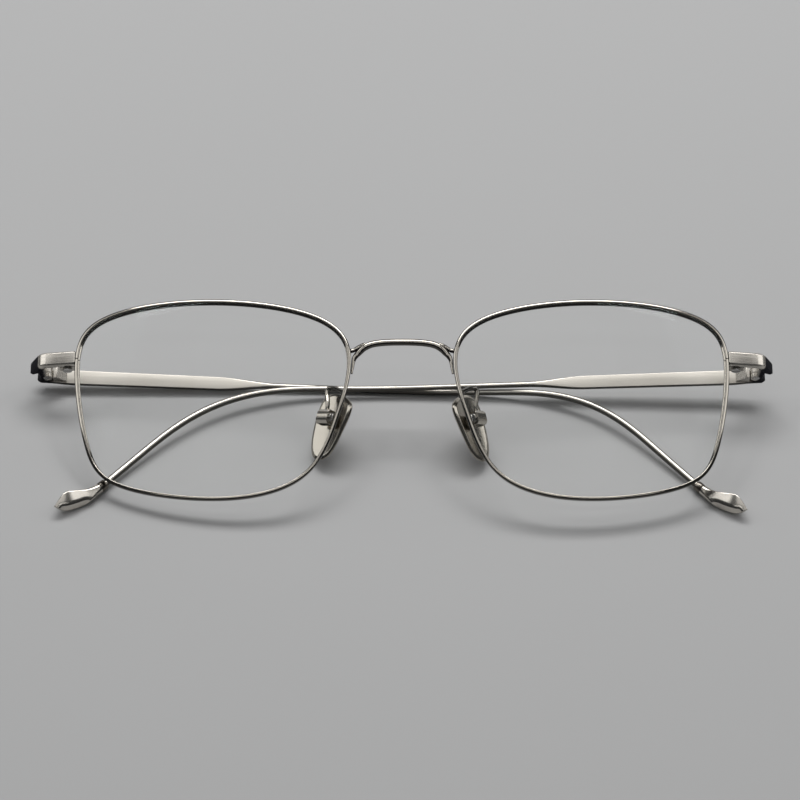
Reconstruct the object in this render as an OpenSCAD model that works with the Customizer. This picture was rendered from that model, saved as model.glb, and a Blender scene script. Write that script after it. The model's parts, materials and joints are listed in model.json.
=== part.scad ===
// Rectangular metal eyeglasses, folded and lying face up on their temples.
// Left and right are the wearer's. All lengths are in millimetres.
// The front is drawn in a frame of its own: x runs to the wearer's left, y up and
// z out of the front, with the origin midway between the lenses at their middle height.

/* [Lenses and rims] */
// Width of each lens
lens_w = 52; // [48:0.5:56]
// Height of each lens
lens_h = 40.3; // [37:0.1:44]
// Distance between the two lenses
bridge_gap = 20.3; // [18:0.1:23]
// Thickness of each lens
lens_t = 1.2; // [1:0.05:1.4]
// Radius of the lens front, a base four curve
lens_radius = 130; // [110:5:170]
// Angle by which each lens faces outwards
wrap_angle = 4.5; // [3:0.5:6]
// Width of the rim wire seen from the front
rim_w = 0.75; // [0.7:0.05:1]
// Depth of the rim wire from front to back
rim_d = 1.3; // [1.2:0.05:1.6]
// Depth of the groove that holds the lens
groove_d = 0.3; // [0.2:0.05:0.35]

/* [Bridge] */
// Thickness of the bridge bar
bridge_d = 1.3; // [1.1:0.05:1.5]
// Height of the middle of the bridge above the middle of the lenses
bridge_y = 11.4; // [9.4:0.1:13]
// How far the bridge stands in front of the rims' highest points
bridge_z = 1; // [0.5:0.1:2]
// Length of each foot of the bridge along its rim
bridge_foot = 5; // [3:0.5:6]

/* [Endpieces] */
// Height of the endpiece bar
end_h = 2.9; // [2.6:0.1:3.4]
// Thickness of the endpiece bar
end_t = 1.1; // [0.9:0.05:1.3]
// Height of the hinge above the middle of the lenses
hinge_y = 10; // [8:0.25:11]
// Length of the front face of the endpiece
end_len = 5.6; // [4.5:0.1:6]
// Radius of the bend in the endpiece
end_bend_r = 2; // [1.8:0.1:3]
// Angle by which the front face leans back
end_lean = 10; // [5:1:15]
// Angle of the side of the endpiece to the front
end_side = 65; // [62:1:75]
// Angle of the slanting cut where the endpiece and the temple meet
mitre = 28; // [15:1:32]
// How far the middle of that cut lies in front of the hinge pin
mitre_reach = 1.6; // [1.3:0.05:1.9]
// Width of the bevels along the endpiece
end_bevel = 0.35; // [0.2:0.05:0.5]

/* [Closing blocks] */
// Height of the upper closing block
upper_block_h = 1.8; // [1.6:0.05:2]
// Height of the lower closing block
lower_block_h = 1; // [0.9:0.05:1.2]
// Length of the closing blocks
block_len = 3; // [2.6:0.1:3.4]
// Depth of the closing blocks
block_d = 1.9; // [1.8:0.1:2.4]
// Width of the split that the screw closes
split_gap = 0.2; // [0.1:0.05:0.3]
// Diameter of the closing screw
closing_screw_d = 1.2; // [1:0.1:1.3]

/* [Hinges] */
// Distance of the hinge pins behind the rims' highest points
hinge_depth = 10; // [9.4:0.1:11]
// Outer diameter of the hinge barrels
barrel_d = 2.3; // [2:0.1:2.4]
// Height of the three hinge barrels together
barrel_stack = 2.7; // [2.4:0.1:2.9]
// Height of the middle barrel
mid_barrel_h = 0.9; // [0.8:0.05:1]
// Diameter of the hinge screw
hinge_screw_d = 1.2; // [1:0.05:1.25]
// Diameter of the hinge screw's head
hinge_head_d = 1.8; // [1.6:0.1:2]
// Distance from the hinge pin to the temple's inner face
pin_to_temple = 1.8; // [1.6:0.05:2]
// Distance from the hinge pin to the end of the temple's hinge leaf
leaf_len = 3.8; // [3.2:0.1:4.5]

/* [Temples] */
// Length of each temple along the bar
temple_len = 145; // [135:1:150]
// Thickness of the flat part
plate_t = 0.9; // [0.8:0.05:1.1]
// Height of the flat part near the hinge
plate_h = 2.9; // [2.6:0.1:3.2]
// Height of the flat part where it begins to taper
plate_h_end = 2.6; // [2.2:0.1:2.8]
// Length of the flat part
plate_len = 33; // [25:1:40]
// Length of the taper from the flat part to the round wire
taper_len = 11; // [8:1:16]
// Diameter of the round wire
wire_d = 1.1; // [1:0.05:1.3]
// Diameter of the wire over the ear
ear_wire_d = 1.3; // [1.2:0.05:1.5]
// Angle by which the temples fall away from the front
temple_fall = 1.5; // [0:0.1:3]
// Angle by which the flat part bows outwards
temple_lead = 1; // [0:0.1:2]
// Distance from the hinge at which the temple turns in towards the head
bow_start = 64; // [55:1:75]
// Radius of that inward curve
bow_radius = 185; // [150:5:260]
// Distance from the hinge to the ear bend of the left temple
left_bend_start = 81; // [76:0.5:86]
// Length of the ear bend of the left temple
left_bend_len = 43; // [36:0.5:48]
// Ear bend of the left temple
left_bend = 44; // [38:0.5:48]
// Distance from the hinge to the ear bend of the right temple
right_bend_start = 87; // [82:0.5:90]
// Length of the ear bend of the right temple
right_bend_len = 34.5; // [30:0.5:42]
// Ear bend of the right temple
right_bend = 45.5; // [38:0.5:48]
// Least room between the folded temples, and between them and the rims
temple_gap = 0.3; // [0.2:0.05:0.6]

/* [Temple tips] */
// Length of the leaf shaped tip
tip_len = 10; // [8:0.5:13]
// Height of the tip
tip_h = 3.4; // [3:0.1:4]
// Thickness of the tip
tip_t = 1.8; // [1.7:0.1:2.2]
// Angle by which the tip turns back up
tip_turn = 27; // [15:1:35]
// Length of the collar in front of the tip
collar_len = 1.6; // [1:0.1:2.5]
// Diameter of the collar
collar_d = 2; // [1.8:0.05:2.3]
// Length of wire inside the tip
tip_socket = 4; // [3:0.5:5]

/* [Nose pads] */
// Length of each pad
pad_len = 13.5; // [12:0.5:14]
// Width of each pad
pad_w = 8.4; // [7:0.2:8.6]
// Thickness of each pad
pad_t = 1.1; // [0.9:0.05:1.3]
// Distance of each pad's edge from the middle of the nose
pad_x = 10.5; // [9.5:0.25:11.5]
// Depth of the pads below the middle of the lenses
pad_drop = 4.7; // [4:0.1:5.4]
// Distance of the pads' front edges behind the rims' highest points
pad_depth = 2.3; // [2:0.1:2.8]
// Angle by which the left pad opens towards the face
left_splay = 46; // [35:1:48]
// Angle by which the right pad opens towards the face
right_splay = 38; // [32:1:48]
// Angle by which the pads open towards their lower ends
pad_lean = 13.5; // [10:0.5:18]
// Angle by which the lower ends of the pads lie further back
pad_pitch = 8; // [4:1:10]
// Diameter of the pad arm wire
arm_d = 0.95; // [0.8:0.05:1.1]
// Length of the pad box along the pad
box_len = 2.8; // [2.6:0.1:3.2]
// Width of the pad box across the pad
box_w = 2.7; // [2.4:0.1:3]
// Height of the pad box
box_h = 2.1; // [1.9:0.1:2.4]
// Thickness of the tab on the back of the pad
tab_t = 1; // [0.8:0.05:1.1]
// Diameter of the pad screw
pad_screw_d = 0.9; // [0.8:0.05:1]

/* [Fits] */
// Film of solder between pieces that are soldered together
solder = 0.05; // [0.04:0.01:0.08]
// Radial clearance of a screw in its bore
bore_clear = 0.03; // [0.02:0.01:0.05]
// Gap between hinge barrels that slide on each other
barrel_gap = 0.04; // [0.03:0.01:0.06]
// Gap between the end of the temple and the endpiece when open
butt_gap = 0.12; // [0.1:0.02:0.2]
// Clearance of the lens in its groove
lens_clear = 0.05; // [0.03:0.01:0.08]

/* [Hidden] */
$fn = 48;
eps = 0.01;

metal = "silver";
dark_metal = "dimgray";
clear = [0.8, 0.9, 0.95, 0.25];

// Small helpers on lists and vectors
function unit(v) = v / norm(v);
function clamp01(t) = max(0, min(1, t));
function mix(a, b, t) = a + (b - a) * clamp01(t);
function smooth(t) = clamp01(t) * clamp01(t) * (3 - 2 * clamp01(t));
function flipped(list) = [for (i = [len(list) - 1:-1:0]) list[i]];
function mirrored(points) = [for (p = points) [-p[0], p[1], p[2]]];
function sum(list, i = 0) = i == len(list) - 1 ? list[i] : list[i] + sum(list, i + 1);
function spread(a, b, n) = [for (i = [0:n - 1]) a + (b - a) * i / n];

// Point on a smooth closed curve that control points pull on, a cubic B-spline
function weight(k, f) =
    k == 0 ? pow(1 - f, 3) / 6
    : k == 1 ? (3 * pow(f, 3) - 6 * pow(f, 2) + 4) / 6
    : k == 2 ? (-3 * pow(f, 3) + 3 * pow(f, 2) + 3 * f + 1) / 6
    : pow(f, 3) / 6;
function loop_point(c, u) =
    let (n = len(c), i = floor(u), f = u - i)
    weight(0, f) * c[(i - 1 + 2 * n) % n] + weight(1, f) * c[(i + 2 * n) % n]
    + weight(2, f) * c[(i + 1 + 2 * n) % n] + weight(3, f) * c[(i + 2 + 2 * n) % n];

// The same for an open curve that starts and ends at its first and last points
function line_at(c, i) =
    i < 0 ? 2 * c[0] - c[1] : i > len(c) - 1 ? 2 * c[len(c) - 1] - c[len(c) - 2] : c[i];
function line_point(c, u) =
    let (i = min(floor(u), len(c) - 2), f = u - i)
    weight(0, f) * line_at(c, i - 1) + weight(1, f) * line_at(c, i)
    + weight(2, f) * line_at(c, i + 1) + weight(3, f) * line_at(c, i + 2);

// A closed skin over a row of rings that each run clockwise about the way they follow
module loft(rings, fans = true) {
    n = len(rings[0]);
    m = len(rings);
    points = concat([for (ring = rings) each ring], [sum(rings[0]) / n, sum(rings[m - 1]) / n]);
    sides = [for (i = [0:m - 2]) for (j = [0:n - 1]) let (k = (j + 1) % n) each [
        [i * n + j, i * n + k, (i + 1) * n + k],
        [i * n + j, (i + 1) * n + k, (i + 1) * n + j]
    ]];
    first = fans ? [for (j = [0:n - 1]) [(j + 1) % n, j, m * n]] : [[for (j = [n - 1:-1:0]) j]];
    last = fans
        ? [for (j = [0:n - 1]) [(m - 1) * n + j, (m - 1) * n + (j + 1) % n, m * n + 1]]
        : [[for (j = [0:n - 1]) (m - 1) * n + j]];
    polyhedron(points, concat(sides, first, last));
}

// Bar section with rounded corners: height along the first axis, thickness along the second
function bar_section(h, t, r) = [for (k = [0:3]) for (a = [0, 45, 90])
    let (q = 90 * k, su = sign(cos(q + 45)), sv = sign(sin(q + 45)))
    [su * (h / 2 - r) + r * cos(q + a), sv * (t / 2 - r) + r * sin(q + a)]
];
function round_corner(h, t) = 0.46 * min(h, t);

// Tube of one section along a smooth line, held upright against a reference direction
function tube_ring(p, t, up, section) =
    let (w = unit(cross(up, t)), u = cross(t, w))
    [for (s = section) p + s[0] * u + s[1] * w];
function tube_rings(line, n, sizes, up) = [for (i = [0:n])
    let (
        e = 0.01,
        u = i / n * (len(line) - 1),
        p = line_point(line, u),
        t = unit(line_point(line, min(u + e, len(line) - 1)) - line_point(line, max(u - e, 0))),
        d = line_size(sizes, u)
    ) tube_ring(p, t, up, bar_section(d, d, round_corner(d, d)))
];
function line_size(sizes, u) =
    let (i = min(floor(u), len(sizes) - 2)) mix(sizes[i], sizes[i + 1], u - i);

// Outline of a lens as shares of its half width, outwards, and of its half height
outline = [
    [1.03, 0.46], [0.91, -0.5], [0.75, -0.87], [-0.11, -1.07], [-0.73, -0.87],
    [-0.91, -0.26], [-1.09, 0.63], [-0.63, 0.94], [0.21, 1.04], [0.94, 0.92]
];
nose_side = [5, 6.6];
ear_side = [-0.9, 1];
lens_x = lens_w / 2 + bridge_gap / 2;
crown = lens_h * lens_h / 8 / lens_radius;
function lens_xy(u) = let (p = loop_point(outline, u)) [p[0] * lens_w / 2, p[1] * lens_h / 2];
function lens_root(q) = sqrt(lens_radius * lens_radius - q * q);
function lens_on(q) = [
    lens_x + q[0],
    q[1],
    lens_root(norm(q)) - lens_radius - q[0] * tan(wrap_angle) + crown
];
function lens_normal(q) =
    let (r = lens_root(norm(q))) unit([q[0] / r + tan(wrap_angle), q[1] / r, 1]);
// Place b outwards from the lens edge and n in front of it, at the share u of the outline
function edge_at(u, b, n) =
    let (
        e = 0.01,
        q = lens_xy(u),
        t = unit(lens_on(lens_xy(u + e)) - lens_on(lens_xy(u - e))),
        nv = lens_normal(q)
    ) lens_on(q) + b * cross(nv, t) + n * nv;
// Share of the outline at which it crosses a height, on one side of the lens
function share_at(y, side, k = 24) =
    let (a = side[0], b = side[1], m = (a + b) / 2)
    k == 0 ? m
    : (lens_xy(m)[1] - y) * (lens_xy(a)[1] - y) > 0 ? share_at(y, [m, b], k - 1)
    : share_at(y, [a, m], k - 1);

// Rim wire
rim_rings = 96;
rim_out = rim_w - groove_d;
rim_corner = 0.22;
lip_corner = 0.08;
groove_half = 0.36;
groove_floor = 0.1;
rim_section = flipped([
    [-groove_d, groove_half], [0, groove_floor], [0, -groove_floor], [-groove_d, -groove_half],
    [-groove_d, lip_corner - rim_d / 2], [lip_corner - groove_d, -rim_d / 2],
    [rim_out - rim_corner, -rim_d / 2], [rim_out, rim_corner - rim_d / 2],
    [rim_out, rim_d / 2 - rim_corner], [rim_out - rim_corner, rim_d / 2],
    [lip_corner - groove_d, rim_d / 2], [-groove_d, rim_d / 2 - lip_corner]
]);
// The closing blocks are hidden behind the endpiece, and the lower one ends level with it
split_y = hinge_y - end_h / 2 + lower_block_h + split_gap / 2;
rim_first = share_at(split_y - split_gap / 2, ear_side);
rim_last = len(outline) + share_at(split_y + split_gap / 2, ear_side);
function rim_skin() = [for (i = [0:rim_rings])
    let (u = rim_first + (rim_last - rim_first) * i / rim_rings)
    [for (s = rim_section) edge_at(u, s[0], s[1])]
];
module rim() {
    color(metal) loft(rim_skin(), fans = false);
}

// Lens with a bevel that sits in the groove
lens_points = 72;
lens_inner = groove_d + lens_clear + 0.05;
bevel_half = 0.28;
lens_shares = flipped(spread(0, len(outline), lens_points));
function lens_ring(f, n) = [for (u = lens_shares)
    let (e = edge_at(u, -lens_inner, 0), q = f * [e[0] - lens_x, e[1]])
    lens_on(q) + n * lens_normal(q)
];
module lens() {
    front = [for (f = [0.25, 0.5, 0.75]) lens_ring(f, lens_t / 2)];
    edge = [
        [for (u = lens_shares) edge_at(u, -lens_inner, lens_t / 2)],
        [for (u = lens_shares) edge_at(u, -lens_inner, bevel_half)],
        [for (u = lens_shares) edge_at(u, -lens_clear, 0)],
        [for (u = lens_shares) edge_at(u, -lens_inner, -bevel_half)],
        [for (u = lens_shares) edge_at(u, -lens_inner, -lens_t / 2)]
    ];
    back = [for (f = [0.75, 0.5, 0.25]) lens_ring(f, -lens_t / 2)];
    color(clear) loft(concat(front, edge, back));
}

// Bridge: an arched bar whose ends turn down and run out along the rims, with a short branch to
// the rim at each shoulder
bridge_r = bridge_d / 2;
bridge_arch = 1.4;
foot_top_y = bridge_y - bridge_arch;
// A place on the foot: its share of the foot's length, its gap to the rim and its radius
function foot_at(k, gap, r) =
    edge_at(share_at(foot_top_y - k * bridge_foot, nose_side), rim_out + solder + gap + r, 0);
foot_end_r = 0.2;
bridge_knee = foot_at(0, 0.6, bridge_r)[0];
bridge_half = [
    [0, bridge_y, bridge_z], [0.35 * bridge_knee, bridge_y - 0.05, bridge_z],
    [0.65 * bridge_knee, bridge_y - 0.35, bridge_z], [0.83 * bridge_knee, bridge_y - 1, bridge_z - 0.1],
    [0.945 * bridge_knee, bridge_y - 2, 0.5 * bridge_z],
    foot_at(0.32, 0.12, 0.5), foot_at(0.5, 0.02, 0.36), foot_at(0.75, 0.02, 0.26),
    foot_at(1, 0, foot_end_r)
];
bridge_sides = len(bridge_half) - 1;
bridge_line = concat(flipped(mirrored([for (i = [1:bridge_sides]) bridge_half[i]])), bridge_half);
half_sizes = [bridge_d, bridge_d, bridge_d, bridge_d, 1.2, 1, 0.72, 0.52, 2 * foot_end_r];
bridge_sizes = concat(flipped([for (i = [1:bridge_sides]) half_sizes[i]]), half_sizes);
branch_share = share_at(foot_top_y - 0.35, nose_side);
branch_line = [
    [0.8 * bridge_knee, bridge_y - 0.6, bridge_z - 0.05],
    [0.92 * bridge_knee, bridge_y - 0.9, 0.75 * bridge_z],
    edge_at(branch_share, rim_out + solder + 0.62, 0),
    edge_at(branch_share, rim_out + solder + 0.12, 0)
];
branch_sizes = [1.1, 1.05, 0.8, 0.84];
module bridge_branch() {
    loft(tube_rings(branch_line, 12, branch_sizes, [0, 0.2, 1]));
}
module bridge() {
    color(metal) {
        loft(tube_rings(bridge_line, 64, bridge_sizes, [0, 0.2, 1]));
        bridge_branch();
        mirror([1, 0, 0]) bridge_branch();
    }
}

// Endpiece: a bevelled bar that runs out from the rim and bends back to the hinge
end_share = share_at(hinge_y, ear_side);
end_root = lens_on(lens_xy(end_share));
end_start = [edge_at(end_share, rim_out, 0)[0] + solder + 0.05, end_root[2]];
function plan_dir(h) = [cos(h), -sin(h)];
end_corner = end_start + end_len * plan_dir(end_lean);
end_centre = end_corner + end_bend_r * [-sin(end_lean), -cos(end_lean)];
function end_arc(h) = end_centre + end_bend_r * [sin(h), cos(h)];
end_turned = end_arc(end_side);
// The slanting cut, from the middle of the bar to its outer corner
end_cut = end_t / 2 / sin(end_side - mitre) * [cos(mitre), -sin(mitre)];
end_proud = 0.35;
joint_z = mitre_reach - hinge_depth - (plate_t / 2 + end_proud) * tan(mitre)
    + butt_gap / cos(mitre);
end_run = (end_turned[1] + end_cut[1] - joint_z) / sin(end_side);
end_back = end_turned + end_run * plan_dir(end_side);
end_section = [
    [end_h / 2, end_t / 2], [-end_h / 2, end_t / 2], [-end_h / 2, end_bevel - end_t / 2],
    [end_bevel - end_h / 2, -end_t / 2], [end_h / 2 - end_bevel, -end_t / 2],
    [end_h / 2, end_bevel - end_t / 2]
];
// Ring at a place in plan: across the bar, or along the slanting cut, with its height scaled
function end_ring(p, across, kh = 1, kt = 1) = [for (s = end_section)
    [p[0] + kt * s[1] * across[0], hinge_y + kh * s[0], p[1] + kt * s[1] * across[1]]
];
function square_to(h) = [-sin(h), -cos(h)];
along_cut = -end_cut / (end_t / 2);
end_steps = 6;
end_round = 0.7;
function end_skin() = concat(
    [
        end_ring(end_start, square_to(end_lean), 0.88, 0.88),
        end_ring(end_start + 0.15 * plan_dir(end_lean), square_to(end_lean))
    ],
    [for (i = [0:end_steps])
        let (h = end_lean + (end_side - end_lean) * i / end_steps)
        end_ring(end_arc(h), square_to(h))
    ],
    [
        end_ring(end_back - end_round * plan_dir(end_side), along_cut),
        end_ring(end_back - 0.4 * end_round * plan_dir(end_side), along_cut, 0.93),
        end_ring(end_back, along_cut, 0.72, 0.92)
    ]
);
module endpiece() {
    color(metal) loft(end_skin());
}
// Inner face of the endpiece's side at a depth
function side_inner_x(depth) =
    end_turned[0] + (end_turned[1] + depth) / tan(end_side) - end_t / 2 / sin(end_side);

// Closing blocks behind the endpiece, with the screw that draws them together
block_x = edge_at(share_at(split_y - 1, ear_side), rim_out, 0)[0] + solder + 0.05;
block_front = end_start[1] - end_t / 2 / cos(end_lean) - solder;
upper_block_y = split_y + split_gap / 2;
lower_block_y = split_y - split_gap / 2 - lower_block_h;
closing_x = block_x + block_len / 2;
closing_z = block_front - 0.25 - block_d / 2;
closing_r = closing_screw_d / 2;
closing_head_r = closing_r + 0.3;
closing_head_h = 0.4;
closing_depth = 1.4;
block_back = closing_z - block_d / 2;
function under_end(x) = block_front - (x - end_start[0]) * tan(end_lean);
// Upright prism over a plan outline of x and z
module prism(plan, y, h) {
    translate([0, y + h, 0]) rotate([90, 0, 0]) linear_extrude(h) polygon(plan);
}
module upright(x, z, y, r, h) {
    translate([x, y + h, z]) rotate([90, 0, 0]) cylinder(r = r, h = h);
}
module upper_block() {
    far = block_x + block_len;
    color(metal) difference() {
        prism([[block_x, under_end(block_x)], [far, under_end(far)], [far, block_back],
            [block_x, block_back]], upper_block_y, upper_block_h);
        upright(closing_x, closing_z, upper_block_y - eps, closing_r + bore_clear,
            closing_depth + bore_clear + eps);
    }
}
module lower_block() {
    far = block_x + block_len;
    color(metal) difference() {
        prism([[block_x, under_end(block_x) - solder], [far, under_end(far) - solder],
            [far, block_back], [block_x, block_back]], lower_block_y, lower_block_h);
        upright(closing_x, closing_z, lower_block_y - eps, closing_r + bore_clear,
            lower_block_h + 2 * eps);
    }
}
module closing_screw() {
    color(dark_metal) difference() {
        union() {
            upright(closing_x, closing_z, lower_block_y - solder, closing_r,
                upper_block_y + closing_depth - lower_block_y + solder);
            upright(closing_x, closing_z, lower_block_y - solder - closing_head_h,
                closing_head_r, closing_head_h);
        }
        translate([closing_x, lower_block_y - solder - closing_head_h, closing_z])
            cube([2 * closing_head_r + 1, 0.36, 0.25], center = true);
    }
}

// Hinge: a frame at the pin, with x outwards, y along the pin and z to the front
barrel_r = barrel_d / 2;
pin_r = hinge_screw_d / 2;
swing_clear = 0.12;
hinge_x = (end_back + end_cut)[0] - end_proud - plate_t - pin_to_temple;
hinge_at = [hinge_x, hinge_y, -hinge_depth];
mid_half = mid_barrel_h / 2;
stack_half = barrel_stack / 2;
head_h = 0.35;
module at_hinge() {
    translate(hinge_at) children();
}
// Where the leaf lies on the endpiece's inner face, at a distance in front of the pin
function leaf_x(ahead) = side_inner_x(hinge_depth - ahead) - hinge_x - solder;
leaf_back = (end_back - end_cut)[1] + hinge_depth + 0.1;
front_leaf_len = 1.8;
leaf_front = leaf_back + front_leaf_len;
module front_hinge() {
    color(metal) at_hinge() difference() {
        union() {
            upright(0, 0, -stack_half, barrel_r, barrel_stack);
            prism([[0.5, 0.3], [1.15, 0.8], [leaf_x(leaf_back), leaf_back],
                [leaf_x(leaf_front), leaf_front], [leaf_x(leaf_front) - 0.5, leaf_front],
                [0, barrel_r - 0.02]], -stack_half, barrel_stack);
        }
        upright(0, 0, -mid_half - barrel_gap, barrel_r + swing_clear,
            mid_barrel_h + 2 * barrel_gap);
        upright(0, 0, -stack_half - eps, pin_r + bore_clear, barrel_stack + 2 * eps);
        upright(0, 0, stack_half - head_h - solder, hinge_head_d / 2 + bore_clear, 1);
    }
}
module hinge_screw() {
    color(dark_metal) at_hinge() difference() {
        union() {
            upright(0, 0, -stack_half, pin_r, barrel_stack - head_h / 2);
            upright(0, 0, stack_half - head_h, hinge_head_d / 2, head_h);
        }
        translate([0, stack_half, 0]) cube([hinge_head_d + 1, 0.34, 0.26], center = true);
    }
}

// Temple frame: the hinge frame turned by the fold, the bar running towards negative x
module at_fold(fold) {
    at_hinge() rotate([0, fold, 0]) children();
}
leaf_h = barrel_stack - 0.3;
module temple_hinge(fold) {
    face = -pin_to_temple + solder;
    near = barrel_r + swing_clear;
    color(metal) at_fold(fold) difference() {
        union() {
            upright(0, 0, -mid_half, barrel_r, mid_barrel_h);
            prism([[0, -0.1], [-barrel_r + 0.02, -0.1], [-near - 0.4, face], [0.1, face]],
                -mid_half, mid_barrel_h);
            prism([[-near, 0.1], [-near - 0.7, 0.1], [-leaf_len + 0.5, face + 0.5],
                [-leaf_len, face], [-near, face]], -leaf_h / 2, leaf_h);
        }
        upright(0, 0, -mid_half - eps, pin_r + bore_clear, mid_barrel_h + 2 * eps);
    }
}

// Path of a temple: how it points at a distance s from the hinge, then the sum of its steps
function plan_angle(s) = -temple_lead + max(0, s - bow_start) / bow_radius * 180 / PI;
left_ear = [left_bend_start, left_bend_len, left_bend];
right_ear = [right_bend_start, right_bend_len, right_bend];
function fall_angle(s, ear) =
    temple_fall + ear[2] * smooth((s - ear[0]) / ear[1])
    - tip_turn * clamp01((s - temple_len + tip_len + 1) / tip_len);
function bar_dir(s, ear) =
    let (a = plan_angle(s), e = fall_angle(s, ear))
    [-cos(e) * cos(a), -sin(e), cos(e) * sin(a)];
bar_centre = -pin_to_temple - plate_t / 2;
function bar_path(stops, ear) = [
    for (i = 0, p = [-stops[0], 0, bar_centre];
        i < len(stops);
        p = i + 1 < len(stops)
            ? p + (stops[i + 1] - stops[i]) * bar_dir((stops[i] + stops[i + 1]) / 2, ear)
            : p,
        i = i + 1)
    p
];
function bar_ring(p, s, ear, section) =
    let (
        a = plan_angle(s),
        e = fall_angle(s, ear),
        slant = s < 0 ? tan(mitre) : 0,
        w = [sin(a), 0, cos(a)] - slant * bar_dir(s, ear),
        u = [-sin(e) * cos(a), cos(e), sin(e) * sin(a)]
    )
    [for (c = section) p + c[0] * u + c[1] * w];

// Height and thickness of the bar at a distance from the hinge
plate_root_h = plate_h - 0.5;
plate_corner = 0.15;
root_len = 5;
wire_start = plate_len + taper_len;
function bar_h(s) =
    s < eps - mitre_reach ? 0.8 * plate_root_h
    : s < root_len ? mix(plate_root_h, plate_h, smooth(s / root_len))
    : s < plate_len ? mix(plate_h, plate_h_end, (s - root_len) / (plate_len - root_len))
    : s < wire_start ? mix(plate_h_end, wire_d, smooth((s - plate_len) / taper_len))
    : wire_at(s);
function bar_t(s) = mix(plate_t, wire_at(s), (s - plate_len) / taper_len);
function wire_at(s) = mix(wire_d, ear_wire_d, (s - bow_start) / 40);
function bar_corner(s) =
    mix(plate_corner, round_corner(bar_h(s), bar_t(s)), (s - plate_len) / taper_len);

// The tip starts after the collar, and the wire ends inside it
tip_start = temple_len - tip_len;
collar_start = tip_start - collar_len;
wire_end = tip_start + tip_socket;
ear_first = min(left_bend_start, right_bend_start);
ear_last = max(left_bend_start + left_bend_len, right_bend_start + right_bend_len);
bar_stops = concat(
    [-mitre_reach, 0.4 - mitre_reach, 0.6, 2, 3.5],
    spread(root_len, plate_len, 3), spread(plate_len, wire_start, 8),
    spread(wire_start, bow_start, 4), spread(bow_start, ear_first, 4),
    spread(ear_first, ear_last, 18), spread(ear_last, tip_start, 5),
    spread(tip_start, wire_end, 4), [wire_end]
);
module temple(ear, fold) {
    path = bar_path(bar_stops, ear);
    color(metal) at_fold(fold) loft([for (i = [0:len(path) - 1])
        let (s = bar_stops[i])
        bar_ring(path[i], s, ear, bar_section(bar_h(s), bar_t(s), bar_corner(s)))
    ]);
}
// Points of a temple's lower skin, for finding how the glasses lie
function temple_skin(ear) =
    let (path = bar_path(bar_stops, ear))
    [for (i = [0:len(path) - 1])
        let (s = bar_stops[i])
        if (s < ear[0])
        each bar_ring(path[i], s, ear, bar_section(bar_h(s), bar_t(s), bar_corner(s)))
    ];

// The path is stepped from the hinge, and these are the places along the tip
function path_at(s, ear) =
    let (
        stops = concat([for (t = bar_stops) if (t < s - eps) t], [s]),
        path = bar_path(stops, ear)
    )
    path[len(path) - 1];
bore_r = ear_wire_d / 2 + bore_clear;
function bore_section() = bar_section(2 * bore_r, 2 * bore_r, round_corner(2 * bore_r, 2 * bore_r));
module tip_collar(ear, fold) {
    big = bar_section(collar_d, collar_d, round_corner(collar_d, collar_d));
    small = bar_section(collar_d - 0.4, collar_d - 0.4, round_corner(collar_d, collar_d) - 0.2);
    from = collar_start;
    to = tip_start - solder;
    places = [to, to, to - 0.2, from + 0.2, from, from, to];
    shapes = [bore_section(), small, big, big, small, bore_section(), bore_section()];
    color(dark_metal) at_fold(fold) ring_loop([for (i = [0:5])
        bar_ring(path_at(places[i], ear), places[i], ear, shapes[i])
    ]);
}
// A skin that closes on itself, for a ring with a hole through it
module ring_loop(rings) {
    n = len(rings[0]);
    m = len(rings);
    points = [for (ring = rings) each ring];
    sides = [for (i = [0:m - 1]) for (j = [0:n - 1]) let (k = (j + 1) % n, o = (i + 1) % m) each [
        [i * n + j, i * n + k, o * n + k],
        [i * n + j, o * n + k, o * n + j]
    ]];
    polyhedron(points, [for (face = sides) flipped(face)]);
}

// Leaf shaped tip: narrow at the collar, fullest at the peak with a shoulder on its upper edge,
// and pointed at the end
tip_neck = collar_d - 0.1;
tip_peak = 0.68;
tip_lift = 0.45;
function tip_share(k) =
    k < tip_peak ? smooth(k / tip_peak) : 1 - pow((k - tip_peak) / (1 - tip_peak), 2);
function tip_height(k) = max(0.25, mix(k < tip_peak ? tip_neck : 0, tip_h, tip_share(k)));
function tip_rise(k) =
    tip_lift * smooth((k - 0.25) / 0.45) * (1 - smooth((k - tip_peak) / (1 - tip_peak)));
function tip_thin(k) = k > 0.6 ? 1 - 0.75 * pow((k - 0.6) / 0.4, 2) : 1;
function tip_thick(k) = max(0.2, mix(tip_neck, tip_t, k / 0.3) * tip_thin(k));
function tip_section(k) =
    let (h = tip_height(k), t = tip_thick(k), r = mix(0.46, 0.2, k / 0.4) * min(h, t))
    [for (q = bar_section(h, t, r)) q + [tip_rise(k), 0]];
tip_shares = [
    1, 0.98, 0.95, 0.91, 0.86, 0.8, 0.74, 0.68, 0.62, 0.55, 0.48, 0.41, 0.33, 0.25, 0.17, 0.1, 0.05, 0
];
function tip_skin(ear) = [for (k = tip_shares)
    let (s = tip_start + k * tip_len)
    bar_ring(path_at(s, ear), s, ear, tip_section(k))
];
module temple_tip(ear, fold) {
    inside = [for (s = concat(spread(tip_start, wire_end, 4), [wire_end + solder]))
        bar_ring(path_at(s, ear), s, ear, bore_section())
    ];
    color(metal) at_fold(fold) mirror_loft(concat(tip_skin(ear), inside));
}
// The same skin for rings that run against the way they follow
module mirror_loft(rings) {
    loft([for (ring = rings) flipped(ring)]);
}

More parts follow.
